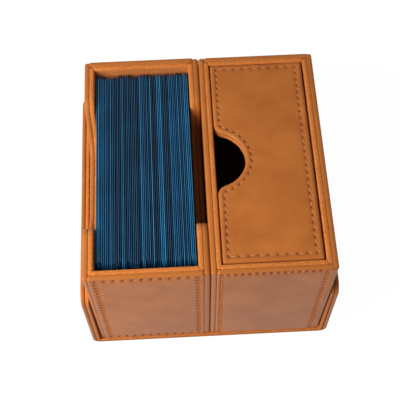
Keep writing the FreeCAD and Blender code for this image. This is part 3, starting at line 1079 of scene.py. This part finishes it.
@dataclass
class SaddleStitching:
    """The stitches of one body: each thread arches from hole to hole at a slant.

    A thread dips below the leather at both ends. Its reach is its share of the way between two
    holes, and its flatness the share of its height that is left when it is pressed down.
    """

    thread_width: float = 0.84
    ply_core: float = 0.36
    slant: float = math.radians(4)
    unevenness: float = 0.07
    arch: float = 0.24
    dip: float = 1.1
    reach: float = 0.84
    flatness: float = 0.62
    twist: float = 4.5
    sunk: float = 0.02
    lines: list[tuple[Array, Array]] = field(default_factory=list)

    def follow(self, board: Board) -> None:
        """Adds the seams of a board, at the depth at which its threads lie.

        Args:
            board: The board.
        """
        relief = board.relief
        depth = -(relief.valley_depth + relief.sink + self.sunk)
        for run, pitch in zip(relief.runs, relief.pitches):
            holes = along_path(run, pitch)
            here, outside = (
                board.place(np.column_stack([holes, np.full(len(holes), at)]))
                for at in (depth, depth + 1.0)
            )
            self.lines.append((here, outside - here))

    def tree(self) -> Tree:
        """Makes the tree that turns each edge of the seam lines into one stitch.

        Returns:
            The tree.
        """
        tree, group = new_tree("saddle_stitching", [
            ("Thread Width", "NodeSocketFloat", self.thread_width * MM),
            ("Slant", "NodeSocketFloat", self.slant),
            ("Arch", "NodeSocketFloat", self.arch * MM),
            ("Dip", "NodeSocketFloat", self.dip * MM),
            ("Reach", "NodeSocketFloat", self.reach),
            ("Flatness", "NodeSocketFloat", self.flatness),
            ("Twist", "NodeSocketFloat", self.twist),
            ("Seed", "NodeSocketInt", 7),
        ])
        size = group.outputs
        add = partial(add_node, tree)
        ends = add("GeometryNodeInputMeshEdgeVertices").outputs
        places = {0: ends["Position 2"], 1: ends["Position 1"]}
        span = add("ShaderNodeVectorMath", places, operation="SUBTRACT")
        named = {"Name": "outward"}
        outward = add("GeometryNodeInputNamedAttribute", named, data_type="FLOAT_VECTOR")
        kept = add("GeometryNodeCaptureAttribute", {"Geometry": size["Geometry"]}, domain="EDGE")
        for label, source in (("Span", span), ("Outward", outward)):
            kept.capture_items.new("VECTOR", label)
            tree.links.new(source.outputs[0], kept.inputs[label])
        middles = add("GeometryNodeMeshToPoints", {"Mesh": kept.outputs["Geometry"]}, mode="EDGES")
        towards = {"Vector": kept.outputs["Span"]}
        along = add("FunctionNodeAlignRotationToVector", towards, axis="X")
        towards = {"Rotation": along, "Vector": kept.outputs["Outward"]}
        upright = add("FunctionNodeAlignRotationToVector", towards, axis="Z", pivot_axis="X")
        bounds = {"Min": -self.unevenness, "Max": self.unevenness, "Seed": size["Seed"]}
        loose = add("FunctionNodeRandomValue", bounds, data_type="FLOAT")
        lean = add("ShaderNodeMath", {0: size["Slant"], 1: loose}, operation="ADD")
        turn = add("FunctionNodeAxisAngleToRotation", {"Axis": (0, 0, 1), "Angle": lean})
        turns = {"Rotation": upright, "Rotate By": turn}
        rotation = add("FunctionNodeRotateRotation", turns, rotation_space="LOCAL")
        length = add("ShaderNodeVectorMath", {0: kept.outputs["Span"]}, operation="LENGTH")
        stretch = add("ShaderNodeMath", {0: length, 1: size["Reach"]}, operation="MULTIPLY")
        scale = add("ShaderNodeCombineXYZ", {"X": stretch, "Y": 1.0, "Z": size["Flatness"]})
        laid = {"Points": middles, "Instance": self.thread(tree, size)}
        laid |= {"Rotation": rotation, "Scale": scale}
        end_tree(tree, add("GeometryNodeInstanceOnPoints", laid), group)
        return tree

    def thread(self, tree: Tree, size: bpy.types.bpy_prop_collection) -> Node:
        """Adds the nodes of one thread, a unit long: three plies twisted round an arch.

        Args:
            tree: The node tree.
            size: The tree's inputs.

        Returns:
            The node that gives the thread.
        """
        add = partial(add_node, tree)
        low = add("ShaderNodeMath", {0: size["Dip"], 1: -1.0}, operation="MULTIPLY")
        rise = {0: size["Arch"], 1: 2.0, 2: size["Dip"]}
        high = add("ShaderNodeMath", rise, operation="MULTIPLY_ADD")
        arch = {
            "Resolution": 9,
            "Start": add("ShaderNodeCombineXYZ", {"X": -0.5, "Z": low}),
            "Middle": add("ShaderNodeCombineXYZ", {"Z": high}),
            "End": add("ShaderNodeCombineXYZ", {"X": 0.5, "Z": low}),
        }
        share = add("GeometryNodeSplineParameter").outputs["Factor"]
        tilt = add("ShaderNodeMath", {0: share, 1: size["Twist"]}, operation="MULTIPLY")
        path = {"Curve": add("GeometryNodeCurveQuadraticBezier", arch), "Tilt": tilt}
        radii = [
            add("ShaderNodeMath", {0: size["Thread Width"], 1: part}, operation="MULTIPLY")
            for part in (self.ply_core, 0.5)
        ]
        star = {"Points": 3, "Inner Radius": radii[0], "Outer Radius": radii[1]}
        tube = {
            "Curve": add("GeometryNodeSetCurveTilt", path),
            "Profile Curve": add("GeometryNodeCurveStar", star).outputs["Curve"],
            "Fill Caps": True,
        }
        return add("GeometryNodeCurveToMesh", tube)

    def build(self, name: str, body: str, material: Material) -> None:
        """Sews every seam that has been followed, as one piece that rides on the body.

        Args:
            name: The piece's name.
            body: The body on which it rides.
            material: The thread.
        """
        points, edges, outward = [], [], []
        for line, directions in self.lines:
            edges += [(len(points) + i, len(points) + i + 1) for i in range(len(line) - 1)]
            points += (line * MM).tolist()
            outward += directions.tolist()
        mesh = bpy.data.meshes.new(name + "_line")
        mesh.from_pydata(points, edges, [])
        layer = mesh.attributes.new("outward", "FLOAT_VECTOR", "POINT")
        layer.data.foreach_set("vector", np.array(outward, np.float32).ravel())
        piece = grow(name, mesh, self.tree(), material)
        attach(piece, body)
        LOG.info("%s: %d stitches on %s", name, len(edges), body)


# --- The object's parts --------------------------------------------------------------------------


@dataclass(frozen=True)
class Finishes:
    """The materials that the parts share."""

    leather: Material
    suede: Material
    thread: Material
    film: Material
    stock: Material
    paper: Material


def hang(piece: Piece, body: str, slot: str, *nodes: str) -> None:
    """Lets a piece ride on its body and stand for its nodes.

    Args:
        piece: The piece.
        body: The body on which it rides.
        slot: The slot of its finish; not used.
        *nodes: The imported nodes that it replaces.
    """
    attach(piece, body)
    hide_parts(*nodes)
    LOG.info("%s rides on %s: %d faces", piece.name, body, len(piece.data.polygons))


def dress(node: str, material: Material) -> None:
    """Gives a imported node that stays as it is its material.

    Args:
        node: The node's name.
        material: The material.
    """
    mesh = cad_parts[node].data
    mesh.materials.clear()
    mesh.materials.append(material)
    LOG.info("%s keeps its packed shape in %s", node, material.name)


@dataclass(frozen=True)
class SeamPlan:
    """Where the seam of a panel runs, and how far apart its holes are, side by side.

    The sides are the bottom, the right, the top and the left, as seen from outside. The pucker is
    given as its depth and its length along the seam, and the valley as its depth and its width.
    """

    insets: Sides
    pitches: Sides
    sides: tuple[int, ...] = (0, 1, 2, 3)
    pucker: Pair = (0.42, 0.7)
    valley: Pair = (0.32, 0.75)
    least_round: float = 2.0
    step: float = 0.4

    def relief(self, corners: Sequence[Corner]) -> Relief:
        """Works out the seam of a panel. Only a wide rounding bends it; the others it cuts square.

        Args:
            corners: The panel's corners, counter-clockwise from the lower left.

        Returns:
            The relief of the panel's leather.
        """
        bottom, right, top, left = self.insets
        distances = [bottom, right, *[top] * (len(corners) - 3), left]
        sharp = [(x, y, r if r > self.least_round else 0.0) for x, y, r in corners]
        runs = split_at_corners(trace(inset(sharp, distances), self.step))
        return Relief(
            [runs[i] for i in self.sides], [self.pitches[i] for i in self.sides],
            valley_depth=self.valley[0], valley_width=self.valley[1],
            pucker_depth=self.pucker[0], pucker_along=self.pucker[1],
        )


@dataclass
class Box:
    """A box of leather-covered boards with a suede lining, and a finger scoop if it holds cards.

    Its inner side is the one that faces the other box, where there is little room: the leather
    bulges nearly to the gap's middle without a crown, and its seam sinks deeper and stays narrow.
    The steps are those of the covers' and of the linings' outlines.
    """

    name: str
    scooped: bool
    side_seam: SeamPlan
    end_seam: SeamPlan
    inner_side: Facing
    bulges: dict[Facing, float]
    front_laps: Pair
    side_trim: float = 0.2
    board_round: float = 0.6
    end_round: float = 1.2
    fold_round: float = 0.9
    turned_round: float = 0.8
    edge_reach: float = 1.25
    end_back_round: float = 0.3
    turned_crease: float = 0.65
    inner_sink: float = 0.2
    inner_width: float = 0.6
    crown: float = 0.08
    corner_round: float = 1.2
    foot_round: float = 2.0
    steps: Pair = (0.6, 0.7)
    lining_round: float = 0.6
    lining_reach: float = 0.95
    lining_back: float = 0.15
    lining_lap: float = 1.0
    lining_spacing: float = 2.5
    wobble: float = 0.05
    scoop_depth: float = 22.2
    scoop_floor: float = 42.0
    scoop_mouth: float = 58.2
    scoop_rounds: Pair = (6.0, 12.0)

    def corners(self, seat: Seat, laps: Pair = (0.0, 0.0)) -> list[Corner]:
        """Gives the corners of a wall, with the scoop in the top edge of a scooped box's side.

        Args:
            seat: Where the wall stands.
            laps: How far the wall reaches into its neighbours at its left and at its right end.

        Returns:
            The corners, counter-clockwise from the lower left.
        """
        wide, high, _ = seat.size
        left, right = laps
        corners = rectangle(-left, 0, wide + right, high, self.corner_round)
        corners[:2] = [(x, y, self.foot_round) for x, y, _ in corners[:2]]
        if self.scooped and not seat.facing.is_end:
            floor, lip, bend = high - self.scoop_depth, *self.scoop_rounds
            mouth, foot = self.scoop_mouth / 2, self.scoop_floor / 2
            scoop = [(mouth, high, lip), (foot, floor, bend)]
            scoop += [(-x, y, round_) for x, y, round_ in reversed(scoop)]
            corners[3:3] = [(wide / 2 + x, y, round_) for x, y, round_ in scoop]
        return corners

    def wall(self, facing: Facing) -> Board:
        """Lays out one covered wall of the box.

        Args:
            facing: Which way the wall looks.

        Returns:
            The wall's cover.
        """
        node = f"{self.name}_{facing.name.lower()}_board"
        seat = Seat.of(node, facing)
        inner = facing is self.inner_side
        plan = self.end_seam if facing.is_end else self.side_seam
        relief = plan.relief(self.corners(seat))
        if inner:
            relief.sink = self.inner_sink
            relief.valley_width = relief.pucker_across = self.inner_width
        laps = {
            Facing.FRONT: self.front_laps, Facing.BACK: self.front_laps[::-1],
            Facing.LEFT: (0.0, -self.side_trim), Facing.RIGHT: (-self.side_trim, 0.0),
        }
        outline = trace(self.corners(seat, laps[facing]), self.steps[0])
        bulge = np.array([0, 0, self.bulges.get(facing, 0.0)])
        board = Board(
            f"{node}_cover", outline, float(seat.size[2]) + bulge[2],
            self.end_round if inner else self.board_round,
            lambda local: seat.place(local + bulge), relief, self.edge_reach,
            end_round=self.fold_round if facing.is_end else self.end_round,
            crown=0.0 if inner else self.crown,
        )
        if facing.is_end:
            board.back_round = self.end_back_round
        else:
            board.back_end_round = self.turned_round
            # The side boards' back faces take painted shade where they meet the lining.
            board.creases = (0.0, self.turned_crease)
        return board

    def lining(self, facing: Facing) -> Board:
        """Lays out the lining of one wall, whose outer face looks into the box.

        Args:
            facing: Which way the wall looks.

        Returns:
            The lining.
        """
        node = f"{self.name}_{facing.name.lower()}_lining"
        seat = Seat.of(node, facing.opposite)
        lap = self.lining_lap if facing.is_end else 0.0
        corners = self.corners(seat, (lap, lap))
        return Board(
            f"{node}_nap", trace(corners, self.steps[1]), float(seat.size[2]), self.lining_round,
            seat.place, edge_reach=self.lining_reach, back_round=self.lining_back,
            spacing=self.lining_spacing, wobble=self.wobble,
        )

    def build(self, finishes: Finishes) -> None:
        """Builds the walls, their linings and the stitching.

        Args:
            finishes: The materials.
        """
        stitching = SaddleStitching()
        for facing in (Facing.FRONT, Facing.BACK, Facing.LEFT, Facing.RIGHT):
            wall = f"{self.name}_{facing.name.lower()}"
            board = self.wall(facing)
            hang(board.build(finishes.leather), self.name, "tan_leather", f"{wall}_board")
            stitching.follow(board)
            nap = self.lining(facing)
            hang(nap.build(finishes.suede), self.name, "tan_suede", f"{wall}_lining")
        dress(f"{self.name}_base_board", finishes.leather)
        dress(f"{self.name}_base_lining", finishes.suede)
        stitching.build(f"{self.name}_stitching", self.name, finishes.thread)


@dataclass
class Drawer:
    """The drawer: a stitched face with a thumb notch on a tray of four thin walls.

    The face spreads past its board, and its seam runs inside it, by as much as is given for its
    left, lower, right and upper side. The pitches of the holes have the same order. The steps are
    those of the face's outline and of its seam.
    """

    notch_radius: float = 13.05
    notch_depth: float = 12.3
    notch_shoulder: float = 4.8
    corner_round: float = 0.9
    board_round: float = 0.95
    board_reach: float = 1.35
    nap_round: float = 0.6
    spread: Sides = (0.25, 0.26, -0.05, 0.28)
    seam_insets: Sides = (2.45, 2.6, 2.8, 1.95)
    notch_inset: float = 2.7
    pitches: Sides = (3.3, 4.0, 3.38, 4.0)
    thread_reach: float = 0.96
    steps: Pair = (0.5, 0.4)

    def line(
        self, seat: Seat, insets: Sequence[float], notch_inset: float, round_: float, step: float
    ) -> Array:
        """Samples a line that follows the face's edge and its notch.

        Args:
            seat: Where the face lies.
            insets: How far the line lies inside each side.
            notch_inset: How far it lies outside the notch.
            round_: The rounding of its corners.
            step: The longest distance between two samples.

        Returns:
            The samples, counter-clockwise from the upper left.
        """
        wide, high, _ = seat.size
        left, bottom, right, top = insets
        return notched(
            (left, bottom, wide - right, high - top),
            (self.notch_depth - self.notch_radius, high / 2), self.notch_radius + notch_inset,
            self.notch_shoulder - notch_inset, round_, step,
        )

    def outline(self, seat: Seat) -> Array:
        """Samples the face's outline."""
        outwards = [-spread for spread in self.spread]
        return self.line(seat, outwards, 0.0, self.corner_round, self.steps[0])

    def build(self, finishes: Finishes) -> None:
        """Builds the face, its lining and its stitching, and dresses the tray.

        Args:
            finishes: The materials.
        """
        seat = Seat.of("drawer_face_board", Facing.UP)
        seam = self.line(seat, self.seam_insets, self.notch_inset, 0.0, self.steps[1])
        relief = Relief(
            split_at_corners(seam), list(self.pitches), valley_depth=0.24,
            pucker_depth=0.08, pit_radius=0.34, pit_depth=0.4, pit_shade=0.3, sink=0.14,
        )
        face = Board(
            "drawer_face_cover", self.outline(seat), float(seat.size[2]), self.board_round,
            seat.place, relief, edge_reach=self.board_reach,
        )
        hang(face.build(finishes.leather), "drawer", "tan_leather", "drawer_face_board")
        stitching = SaddleStitching(reach=self.thread_reach)
        stitching.follow(face)
        stitching.build("drawer_stitching", "drawer", finishes.thread)
        under = Seat.of("drawer_face_lining", Facing.UP)
        nap = Board(
            "drawer_face_nap", self.outline(under), float(under.size[2]), self.nap_round,
            under.place, edge_reach=self.nap_round, spacing=3.0,
        )
        hang(nap.build(finishes.suede), "drawer", "tan_suede", "drawer_face_lining")
        # The tray's dark paper paints the shade seen inside the thumb notch.
        for node in ("drawer_foot", "drawer_front_wall", "drawer_back_wall", "drawer_floor"):
            dress(node, finishes.paper)


@dataclass(frozen=True)
class Layer:
    """One layer of the cradle.

    Its fill says by what share it is thicker in its sides than in its floor, and how much further
    in its outer side lies there. Its rounds are those of its outer and its inner edges. The creases
    say how much painted shade its outer and its inner face take, where the other layer is glued to
    it.
    """

    name: str
    rounds: Pair
    creases: Pair
    fill: Pair

    def nodes(self) -> list[str]:
        """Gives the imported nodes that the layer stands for."""
        return [f"cradle_{side}_{self.name}" for side in ("left", "base", "right")]


@dataclass
class Cradle:
    """The cradle: one leather cover bent up at both sides, with a suede lining laid inside it.

    Rows of samples follow the bends, with a margin beside them. The steps are those of the
    layers' outlines and of the seams.
    """

    bend: float = 3.6
    bend_length: float = 5.76
    bend_rows: tuple[int, int] = (12, 30)
    bend_margin: Pair = (0.5, 1.2)
    corner_round: float = 6.0
    rake: float = 1.2
    seam_inset: float = 2.4
    seam_lead: float = 0.1
    seam_length: float = 44.0
    pitch: float = 3.4
    steps: Pair = (0.7, 0.4)
    spacing: float = 3.0
    cover: Layer = Layer("board", (0.5, 0.7), (0.0, 0.6), (0.3, 0.0))
    lining: Layer = Layer("lining", (0.5, 0.3), (0.6, 0.0), (0.12, 0.42))

    def bent(self, layer: Layer, inside: float) -> tuple[Mapping, float, float]:
        """Works out how a flat sheet is bent to fill the nodes of one layer.

        Args:
            layer: The layer, whose left node gives its outer side and its height.
            inside: How far the layer's outer side lies within the cradle's.

        Returns:
            The mapping from the flat sheet, half of its length, and where the bend starts.
        """
        low, high = (np.array(v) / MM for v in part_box(f"cradle_left_{layer.name}"))
        half, bottom, top = -low[0], low[2], high[2]
        radius = self.bend - inside
        flat = half - radius
        turn = radius * math.pi / 2
        length = flat + turn + (top - bottom - radius)
        thicker, further = layer.fill

        def place(local: Array) -> Array:
            """Bends points of the flat sheet.

            Args:
                local: Length across, depth and distance outwards of each point.

            Returns:
                The points in the frame's axes.
            """
            across, depth, out = -local[:, 0], local[:, 1], local[:, 2]
            far = np.abs(across)
            angle = np.clip((far - flat) / radius, 0, math.pi / 2)
            share = angle / (math.pi / 2)
            out = out * (1 + thicker * share) - further * share
            climb = np.maximum(far - flat - turn, 0)
            x = np.minimum(far, flat) + (radius + out) * np.sin(angle)
            z = bottom + radius - (radius + out) * np.cos(angle) + climb
            return np.stack([np.sign(across) * x, depth, z], axis=1)

        return place, length, flat

    def sheet(self, layer: Layer, inside: float) -> tuple[Board, float, float]:
        """Lays out one layer of the cradle as a flat sheet.

        Args:
            layer: The layer.
            inside: How far the layer's outer side lies within the cradle's.

        Returns:
            The sheet, half of its length and half of its depth.
        """
        place, length, flat = self.bent(layer, inside)
        low, high = (np.array(v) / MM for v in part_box(f"cradle_base_{layer.name}"))
        depth = float(high[1])
        turn_end = flat + self.bend_length
        corner = (length, depth - self.rake, self.corner_round)
        front = [(-corner[0], -corner[1], corner[2]), (-turn_end, -depth, 0.0)]
        front += [(turn_end, -depth, 0.0), (corner[0], -corner[1], corner[2])]
        corners = front + [(-x, -y, round_) for x, y, round_ in front]
        side, end = self.bend_margin
        rows = np.linspace(flat - side, turn_end, self.bend_rows[0])
        lines = np.linspace(-depth + end, depth - end, self.bend_rows[1])
        bends = [np.stack(np.meshgrid(s * rows, lines), axis=-1).reshape(-1, 2) for s in (-1, 1)]
        board = Board(
            f"cradle_{layer.name}_sheet", trace(corners, self.steps[0]), float(high[2] - low[2]),
            layer.rounds[0], place, edge_reach=layer.rounds[0], back_round=layer.rounds[1],
            spacing=self.spacing, extra=np.concatenate(bends), creases=layer.creases,
        )
        return board, length, depth

    def build(self, finishes: Finishes) -> None:
        """Builds the cover with the stitching of its sides, and the lining.

        Args:
            finishes: The materials.
        """
        cover, length, depth = self.sheet(self.cover, 0.0)
        start, end = length - self.seam_length, length - self.seam_inset
        far, near = depth - self.seam_inset - self.seam_lead, depth - self.seam_inset - self.rake
        bend = self.corner_round - self.seam_inset
        half = [(start, -far, 0.0), (end, -near, bend)]
        half += [(x, -y, round_) for x, y, round_ in reversed(half)]
        lines = [[(s * x, y, round_) for x, y, round_ in half] for s in (-1, 1)]
        cover.relief = Relief(
            [trace(line, self.steps[1], closed=False) for line in lines], [self.pitch] * 2,
            valley_depth=0.24, pucker_depth=0.15, pit_depth=0.4, sink=0.14,
        )
        base_low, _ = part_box("cradle_base_lining")
        lining, _, _ = self.sheet(self.lining, base_low.z / MM)
        hang(cover.build(finishes.leather), "cradle", "tan_leather", *self.cover.nodes())
        stitching = SaddleStitching()
        stitching.follow(cover)
        stitching.build("cradle_stitching", "cradle", finishes.thread)
        hang(lining.build(finishes.suede), "cradle", "tan_suede", *self.lining.nodes())


@dataclass
class CardStack:
    """The sleeved cards: thin pockets with welded edges, open at the front.

    Each sleeve stands a little out of line, by up to the jitter in each direction.
    """

    count: int = 54
    pitch: float = 0.75
    film: float = 0.12
    weld: float = 0.22
    weld_band: float = 0.45
    weld_rise: float = 0.6
    weld_slope: float = 1.1
    corner_round: float = 2.4
    front_round: float = 3.2
    mouth_depth: float = 4.5
    mouth_margin: float = 0.5
    least_step: float = 0.05
    front_limit: float = 0.01
    jitter: tuple[float, float, float] = (0.02, 0.9, 0.28)

    def pocket(self, thickness: float, length: float, height: float) -> Mesh:
        """Makes one sleeve with its length along Y and its height along Z.

        Args:
            thickness: The sleeve's thickness with its card.
            length: Its length.
            height: Its height.

        Returns:
            The sleeve's mesh.
        """
        corners = rectangle(0, 0, length, height, self.corner_round)
        corners[3] = (0.0, height, self.front_round)
        outline = trace(corners, length + height)
        apart = np.linalg.norm(np.diff(outline, axis=0), axis=1) > self.least_step
        outline = outline[np.append(True, apart)]
        normals = inward_normals(outline)
        front = outline[:, 0] < self.front_limit
        half = thickness / 2
        rise = self.weld_rise * half
        rings = ((0.0, self.weld / 2), (self.weld_band, rise), (self.weld_slope, half))
        points = np.concatenate([
            np.column_stack([side * np.where(front, half, out), outline + normals * depth])
            for side in (-1, 1) for depth, out in rings
        ]).tolist()
        count = len(outline)
        right = len(rings) * count
        faces: list[list[int]] = []
        for side, turn in ((0, -1), (right, 1)):
            cap = side + right - count
            for start in range(side, cap, count):
                for i in range(count):
                    quad = [start + i, start + (i + 1) % count]
                    faces.append([*quad, quad[1] + count, quad[0] + count][::turn])
            faces.append([cap + i for i in range(count)][::turn])
        mouth = next(i for i in range(count) if front[i] and front[(i + 1) % count])
        for i in range(count):
            after = (i + 1) % count
            rim = [i, after, right + after, right + i]
            if i == mouth:
                outer = rim
            else:
                faces.append(rim)
        inner, first = half - self.film, len(points)
        top = points[outer[0]][2] - self.mouth_margin
        low = points[outer[1]][2] + self.mouth_margin
        for y in (0.0, self.mouth_depth):
            points += [(-inner, y, top), (-inner, y, low), (inner, y, low), (inner, y, top)]
        for a in range(4):
            b = (a + 1) % 4
            faces.append([outer[a], outer[b], first + b, first + a])
            faces.append([first + a, first + b, first + 4 + b, first + 4 + a])
        faces.append([first + 4 + a for a in range(4)])
        mesh = bpy.data.meshes.new("sleeve")
        mesh.from_pydata((np.array(points) * MM).tolist(), [], faces)
        return mesh

    def tree(self) -> Tree:
        """Makes the tree that sets the sleeves side by side, each a little out of line.

        Returns:
            The tree.
        """
        tree, group = new_tree("sleeve_stack", [
            ("Count", "NodeSocketInt", self.count),
            ("Pitch", "NodeSocketFloat", self.pitch * MM),
            ("Unevenness", "NodeSocketVector", tuple(v * MM for v in self.jitter)),
            ("Seed", "NodeSocketInt", 11),
        ])
        size = group.outputs
        add = partial(add_node, tree)
        step = add("ShaderNodeCombineXYZ", {"X": size["Pitch"]})
        row = add("GeometryNodeMeshLine", {"Count": size["Count"], "Offset": step}, mode="OFFSET")
        opposite = {0: size["Unevenness"], 1: (-1.0, -1.0, -1.0)}
        back = add("ShaderNodeVectorMath", opposite, operation="MULTIPLY")
        bounds = {"Min": back, "Max": size["Unevenness"], "Seed": size["Seed"]}
        shift = add("FunctionNodeRandomValue", bounds, data_type="FLOAT_VECTOR")
        uneven = add("GeometryNodeSetPosition", {"Geometry": row, "Offset": shift})
        sleeves = {"Points": uneven, "Instance": size["Geometry"]}
        placed = add("GeometryNodeInstanceOnPoints", sleeves)
        # Each sleeve gets a random value that the film turns into painted highlight or shade.
        bounds = {"Min": 0.0, "Max": 1.0, "Seed": 5}
        tint = add("FunctionNodeRandomValue", bounds, data_type="FLOAT")
        stored = {"Geometry": placed, "Name": "tint", "Value": tint}
        tinted = add(
            "GeometryNodeStoreNamedAttribute", stored, data_type="FLOAT", domain="INSTANCE"
        )
        end_tree(tree, tinted, group)
        return tree

    def build(self, finishes: Finishes) -> None:
        """Builds the sleeves in place and dresses the cards.

        Args:
            finishes: The materials.
        """
        low, high = (np.array(v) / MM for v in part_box("card_sleeves"))
        wide, length, height = (float(v) for v in high - low)
        thickness = wide - self.pitch * (self.count - 1)
        mesh = self.pocket(thickness, length, height)
        stack = grow("card_sleeve_stack", mesh, self.tree(), finishes.film)
        start = Vector((low[0] + thickness / 2, low[1], low[2])) * MM
        stack.data.transform(Matrix.Translation(start))
        stack.data.polygons.foreach_set("use_smooth", [False] * len(stack.data.polygons))
        hang(stack, "card_stack", "sleeve_plastic", "card_sleeves")
        dress("playing_cards", finishes.stock)


# --- Studio --------------------------------------------------------------------------------------


@dataclass(frozen=True)
class Studio:
    """A pale floor, an even sky, one broad soft lamp at the front left, and the camera."""

    lens: float = 76.97
    sensor: float = 36.0
    yaw: float = -2.357
    pitch: float = 63.122
    roll: float = -0.591
    eye: tuple[float, float, float] = (-9.125, -176.601, 387.372)
    floor_half: float = 2000.0
    floor_depth: float = 0.05
    floor_colour: str = "#BCBBB9"
    floor_glow: float = 1.14
    floor_share: float = 0.85
    sky: float = 0.22
    lamp_place: tuple[float, float, float] = (-280.0, -150.0, 300.0)
    lamp_width: float = 300.0
    lamp_power: float = 2.17

    def camera(self) -> None:
        """Sets the camera."""
        data = bpy.data.cameras.new("camera")
        data.lens = self.lens
        data.sensor_width = self.sensor
        camera = add_object("camera", data)
        yaw, pitch, roll = (math.radians(v) for v in (self.yaw, self.pitch, self.roll))
        level = math.cos(pitch)
        back = Vector((math.sin(yaw) * level, -math.cos(yaw) * level, math.sin(pitch)))
        right = Vector((math.cos(yaw), math.sin(yaw), 0.0))
        up = back.cross(right)
        across = right * math.cos(roll) + up * math.sin(roll)
        upright = up * math.cos(roll) - right * math.sin(roll)
        turn = Matrix((across, upright, back)).transposed().to_4x4()
        camera.matrix_world = Matrix.Translation(Vector(self.eye) * MM) @ turn
        bpy.context.scene.camera = camera

    def floor(self) -> None:
        """Lays a matt white floor that still shows the object's shadow."""
        mesh = bpy.data.meshes.new("studio_floor")
        half, low = self.floor_half * MM, -self.floor_depth * MM
        corners = [(x, y, low) for x, y, _ in rectangle(-half, -half, half, half)]
        mesh.from_pydata(corners, [], [(0, 1, 2, 3)])
        material, tree = new_material("matt_white_board")
        add = partial(add_node, tree)
        paint = add("ShaderNodeBsdfDiffuse", {"Color": linear(self.floor_colour)})
        glow = add("ShaderNodeEmission", {"Color": linear("#FFFFFF"), "Strength": self.floor_glow})
        seen = {0: self.seen(tree), 1: self.floor_share}
        share = add("ShaderNodeMath", seen, operation="MULTIPLY")
        both = add("ShaderNodeMixShader", {0: share, 1: paint, 2: glow})
        add("ShaderNodeOutputMaterial", {"Surface": both})
        mesh.materials.append(material)
        add_object("studio_floor", mesh)

    @staticmethod
    def seen(tree: Tree) -> Node:
        """Gives one for rays that come from the camera, a reflection or through glass.

        Args:
            tree: The node tree.

        Returns:
            The node that gives it.
        """
        path = add_node(tree, "ShaderNodeLightPath").outputs
        rays = {0: path["Is Camera Ray"], 1: path["Is Glossy Ray"]}
        pair = add_node(tree, "ShaderNodeMath", rays, operation="MAXIMUM")
        rays = {0: pair, 1: path["Is Transmission Ray"]}
        return add_node(tree, "ShaderNodeMath", rays, operation="MAXIMUM")

    def light(self) -> None:
        """Sets the sky and the lamp."""
        world = bpy.data.worlds.new("studio")
        world.use_nodes = True
        tree = world.node_tree
        tree.nodes.clear()
        add = partial(add_node, tree)
        sky, wall = (
            add("ShaderNodeBackground", {"Color": linear("#FFFFFF"), "Strength": strength})
            for strength in (self.sky, 1.0)
        )
        both = add("ShaderNodeMixShader", {0: self.seen(tree), 1: sky, 2: wall})
        add("ShaderNodeOutputWorld", {"Surface": both})
        bpy.context.scene.world = world
        lamp = bpy.data.lights.new("soft_box", "AREA")
        lamp.shape = "SQUARE"
        lamp.size = self.lamp_width * MM
        lamp.energy = self.lamp_power
        at = Vector(self.lamp_place) * MM
        turn = at.to_track_quat("Z", "Y").to_matrix().to_4x4()
        add_object("soft_box", lamp).matrix_world = Matrix.Translation(at) @ turn

    def build(self) -> None:
        """Sets up the whole studio."""
        self.camera()
        self.floor()
        self.light()
        bpy.context.scene.view_settings.view_transform = "Standard"


def main() -> None:
    """Builds the studio and every part of the object."""
    logging.basicConfig(level=logging.INFO, format="%(name)s: %(message)s")
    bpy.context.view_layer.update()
    Studio().build()
    finishes = Finishes(
        CoatedLeather().make(), Suede().make(), BondedThread().make(), SleeveFilm().make(),
        CardStock().make(), NotchShadePaper().make(),
    )
    no_foot = (1, 2, 3)
    side_seam = SeamPlan(insets=(2.3,) * 4, pitches=(3.4, 3.33, 3.5, 3.33), sides=no_foot)
    end_seam = partial(SeamPlan, pucker=(0.6, 0.55), valley=(0.2, 0.6))
    card_box = Box(
        "card_box", scooped=True, side_seam=side_seam, inner_side=Facing.RIGHT,
        end_seam=end_seam(insets=(2.4, 2.35, 2.3, 2.65), pitches=(3.75, 3.33, 3.70, 3.33)),
        bulges={Facing.RIGHT: 0.28, Facing.LEFT: 0.1, Facing.BACK: 0.27}, front_laps=(0.6, 0.3),
    )
    case_pitches = (3.0, 2.95, 2.78, 2.95)
    drawer_case = Box(
        "drawer_case", scooped=False, side_seam=side_seam, inner_side=Facing.LEFT,
        end_seam=end_seam(insets=(2.3, 1.68, 1.6, 2.0), pitches=case_pitches, sides=no_foot),
        bulges={Facing.LEFT: 0.28, Facing.RIGHT: 0.25}, front_laps=(0.2, 1.0),
    )
    for part in (Cradle(), card_box, drawer_case, Drawer(), CardStack()):
        part.build(finishes)


if __name__ == "__main__":
    main()
